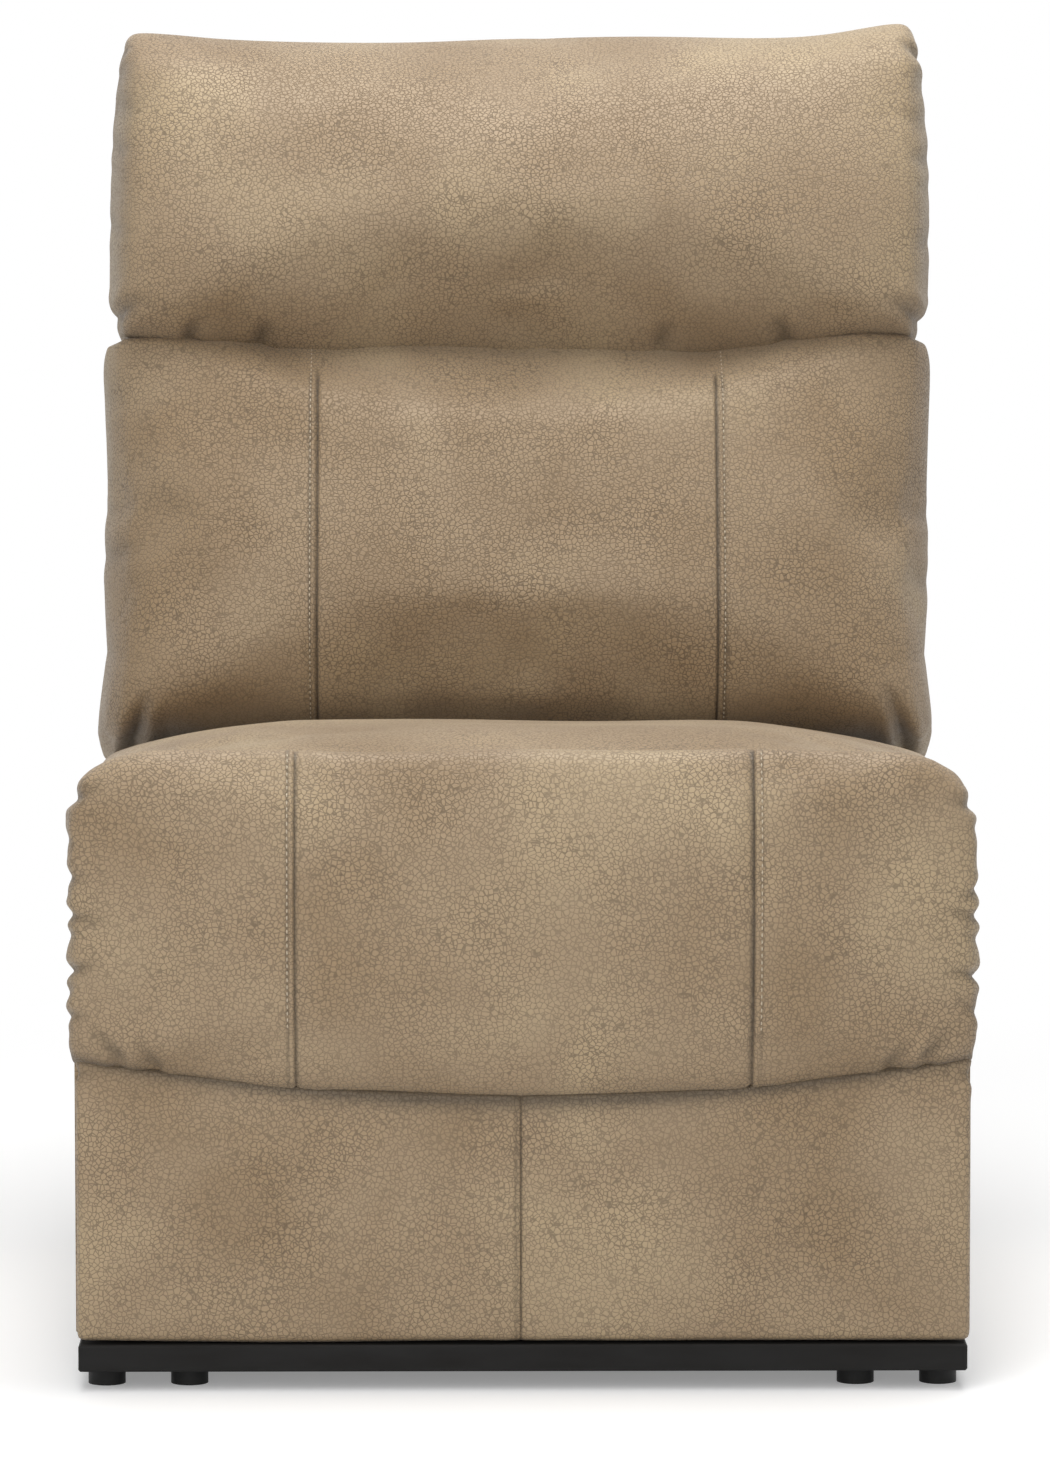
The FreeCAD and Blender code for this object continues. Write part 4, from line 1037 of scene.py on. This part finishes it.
@dataclass
class WrappedPanel:
    """A flat board or panel wrapped in leather, with rounded edges."""

    node: str
    body: Body
    round: float = 2.0

    def build(self) -> bpy.types.Object:
        """Round the panel's edges and dress it.

        Returns:
            The finished panel.
        """
        form = copy_of(self.node)
        bmesh.ops.dissolve_limit(form, angle_limit=math.radians(2), verts=form.verts, edges=form.edges)
        sharp = [edge for edge in form.edges if edge.calc_face_angle(0) > math.radians(30)]
        bmesh.ops.bevel(form, geom=sharp, offset=self.round * MM, offset_type="OFFSET", affect="EDGES",
                        segments=3, profile=0.5, material=-1, clamp_overlap=True)
        bmesh.ops.recalc_face_normals(form, faces=form.faces)
        piece = mesh_object(self.node + "_cover", form)
        LEATHER.dress(piece)
        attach(piece, self.body)
        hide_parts(self.node)
        log.info("%s: %d faces", piece.name, len(piece.data.polygons))
        return piece


@dataclass
class FrontPanel(PaddedCover):
    """The thinly padded panel below the calf pad, sewn from two halves."""

    node: str = "front_panel"
    body: Body = Body.FOOTREST
    front: float = -436.0
    reach_up: float = 7.0
    voxel: float = 4.0
    rounds: int = 3
    shrink: float = 0.0
    fill: float = 0.9
    seams: tuple[float, ...] = (-1.5,)

    def held(self, surface: Surface) -> np.ndarray:
        """The panel is stapled flat all over its back."""
        return np.ones(len(surface.places))

    def blank(self) -> bpy.types.Object:
        """Make the panel's even mesh, without a simulation, because it is pulled flat.

        Returns:
            The blank panel.
        """
        piece = mesh_object(self.node + "_cover", copy_of(self.node))
        remeshed(piece, self.voxel, self.rounds)
        scored(piece, self.seams)
        return piece

    def shape(self, surface: Surface) -> None:
        """Press in the middle seam and the pleats under the tuck, reach up behind the pad, and paint shade
        under the tuck.

        Args:
            surface: the panel's surface.
        """
        surface.places[:, 2] += self.reach_up * np.clip((surface.places[:, 2] - 190) / 20, 0, 1)
        surface.lumps(180, 1.6, 21.5)
        Seam(self.seams[0], flap=5.0, depth=2.0, raised=0.0).press(surface, (20, 300), self.front)
        surface.press([Crease((-338, 238), (-310, 232), 5, 2.5), Crease((338, 236), (312, 230), 5, 2.5)])
        # Painted shade on the panel just below the pad's tuck, where the pad shades it
        below = tuck_line(surface.places[:, 0]) - surface.places[:, 2]
        surface.painted_shade = np.maximum(surface.painted_shade, 0.75 * np.exp(-np.clip(below, 0, None) / 5))


@dataclass
class Studio:
    """The floor, the lamps and the camera, in m.

    The focal length is counted in pixels of a frame that is frame_height pixels high. The floor shows shadows
    up to shadow_reach from the chair and then fades to plain white.
    """

    stand: tuple[float, float, float] = (-0.051, -5.64, 1.0)
    aim: tuple[float, float, float] = (0.0059, 0.0, 0.4468)
    chair_middle: tuple[float, float, float] = (0.0, 0.0, 0.45)
    frame_height: float = 1473.0
    focal_length: float = 7060.0
    floor_half: float = 14.0
    floor_glow: float = 0.25
    shadow_reach: tuple[float, float] = (0.75, 1.7)
    sky_light: float = 0.26

    def floor(self) -> None:
        """Lay a white floor that shows the chair's shadow."""
        form = bmesh.new()
        bmesh.ops.create_grid(form, x_segments=1, y_segments=1, size=self.floor_half)
        ground = mesh_object("floor", form)
        finish = bpy.data.materials.new("white_studio_floor")
        finish.use_nodes = True
        tree = finish.node_tree
        tree.nodes.clear()
        output = add_node(tree, "ShaderNodeOutputMaterial")
        paint = add_node(tree, "ShaderNodeBsdfDiffuse", inputs={"Color": linear("#f2f2f2")})
        glow = add_node(tree, "ShaderNodeEmission", inputs={
            "Color": (1, 1, 1, 1), "Strength": self.floor_glow})
        lit = add_node(tree, "ShaderNodeAddShader", inputs={0: paint.outputs[0], 1: glow.outputs[0]})
        place = add_node(tree, "ShaderNodeTexCoord").outputs["Object"]
        away = add_node(tree, "ShaderNodeVectorMath", {"operation": "LENGTH"}, {0: place})
        far = add_node(tree, "ShaderNodeMapRange", {"interpolation_type": "SMOOTHSTEP"}, {
            "Value": away.outputs["Value"], "From Min": self.shadow_reach[0],
            "From Max": self.shadow_reach[1]})
        white = add_node(tree, "ShaderNodeEmission", inputs={"Color": (1, 1, 1, 1), "Strength": 1.0})
        near = add_node(tree, "ShaderNodeMixShader", inputs={
            0: far.outputs["Result"], 1: lit.outputs[0], 2: white.outputs[0]})
        mixed = add_node(tree, "ShaderNodeMixShader", inputs={
            0: self.seen_rays(tree), 1: paint.outputs[0], 2: near.outputs[0]})
        tree.links.new(mixed.outputs[0], output.inputs["Surface"])
        ground.data.materials.append(finish)

    def seen_rays(self, tree: bpy.types.NodeTree) -> bpy.types.NodeSocket:
        """Tell the rays that are seen, straight on, in a gloss or through glass, from those that only light.

        Args:
            tree: the node tree that asks.

        Returns:
            A socket that is 1 for the seen rays and 0 for the rest.
        """
        path = add_node(tree, "ShaderNodeLightPath")
        either = add_node(tree, "ShaderNodeMath", {"operation": "MAXIMUM"}, {
            0: path.outputs["Is Camera Ray"], 1: path.outputs["Is Glossy Ray"]})
        seen = add_node(tree, "ShaderNodeMath", {"operation": "MAXIMUM"}, {
            0: either.outputs[0], 1: path.outputs["Is Transmission Ray"]})
        return seen.outputs[0]

    def sky(self) -> None:
        """Light the chair from all round, and show white where nothing else is seen."""
        world = bpy.data.worlds.new("studio")
        bpy.context.scene.world = world
        world.use_nodes = True
        tree = world.node_tree
        tree.nodes.clear()
        output = add_node(tree, "ShaderNodeOutputWorld")
        level = add_node(tree, "ShaderNodeMapRange", inputs={
            "Value": self.seen_rays(tree), "To Min": self.sky_light, "To Max": 1.0})
        sky = add_node(tree, "ShaderNodeBackground", inputs={
            "Color": (1, 1, 1, 1), "Strength": level.outputs["Result"]})
        tree.links.new(sky.outputs[0], output.inputs["Surface"])

    def lamp(self, name: str, place: tuple[float, float, float], size: float, power: float) -> None:
        """Hang a square soft lamp that faces the chair.

        Args:
            name: the lamp's name.
            place: where it hangs, in m.
            size: its side in m.
            power: its power in watts.
        """
        data = bpy.data.lights.new(name, "AREA")
        data.size = size
        data.energy = power
        lamp = bpy.data.objects.new(name, data)
        lamp.location = place
        lamp.rotation_euler = (Vector(self.chair_middle) - Vector(place)).to_track_quat("-Z", "Y").to_euler()
        bpy.context.scene.collection.objects.link(lamp)

    def camera(self) -> None:
        """Stand the camera where the photograph was taken from."""
        data = bpy.data.cameras.new("camera")
        data.sensor_fit = "VERTICAL"
        data.sensor_height = 36
        data.sensor_width = 36
        data.lens = data.sensor_height * self.focal_length / self.frame_height
        data.clip_end = 60
        camera = bpy.data.objects.new("camera", data)
        camera.location = self.stand
        camera.rotation_euler = (Vector(self.aim) - Vector(self.stand)).to_track_quat("-Z", "Y").to_euler()
        bpy.context.scene.collection.objects.link(camera)
        bpy.context.scene.camera = camera

    def build(self) -> None:
        """Set the whole studio up."""
        self.floor()
        self.sky()
        self.lamp("key_lamp", (-0.7, -2.5, 3.3), 2.0, 36)
        self.lamp("overhead_lamp", (0.2, 0.05, 3.2), 2.0, 74)
        self.lamp("front_lamp", (-0.6, -2.5, 1.1), 1.4, 18)
        self.lamp("fill_lamp", (2.8, -3.4, 1.6), 2.6, 12)
        self.camera()
        bpy.context.scene.view_settings.view_transform = "Standard"


class Hardware:
    """The frame, the mechanism and the base: CAD solids that keep their shape and get their finish."""

    finishes: dict[Slot, Finish] = {
        Slot.BOARD: PAINTED_BOARD, Slot.PLASTIC: PLASTIC, Slot.WOOD: PLYWOOD, Slot.STEEL: ENAMEL,
        Slot.RIVET: ZINC, Slot.WEBBING: WEBBING, Slot.STRAP: PULL_STRAP, Slot.UPHOLSTERY: LEATHER}

    def build(self) -> None:
        """Give every CAD node the finish of its slot in the record."""
        slots = {part["node"]: part["material_slot"] for part in frame["record"]["subparts"]}
        for name, node in frame["nodes"].items():
            self.finishes[slots[name]].dress(node)
        log.info("dressed %d solids", len(frame["nodes"]))


def main() -> None:
    """Dress the chair in order."""
    logging.basicConfig(level=logging.INFO, format="%(message)s")
    Studio().build()
    Hardware().build()
    covers = [CalfPad(), FrontPanel(), SeatCushion(), BackCushion(), HeadPillow(),
              WrappedPanel("left_side_panel", Body.SEAT), WrappedPanel("right_side_panel", Body.SEAT),
              WrappedPanel("seat_rear_panel", Body.SEAT), WrappedPanel("outside_back", Body.BACK, round=4.0),
              WrappedPanel("left_back_side", Body.BACK, round=4.0),
              WrappedPanel("right_back_side", Body.BACK, round=4.0)]
    for cover in covers:
        cover.build()


if __name__ == "__main__":
    main()
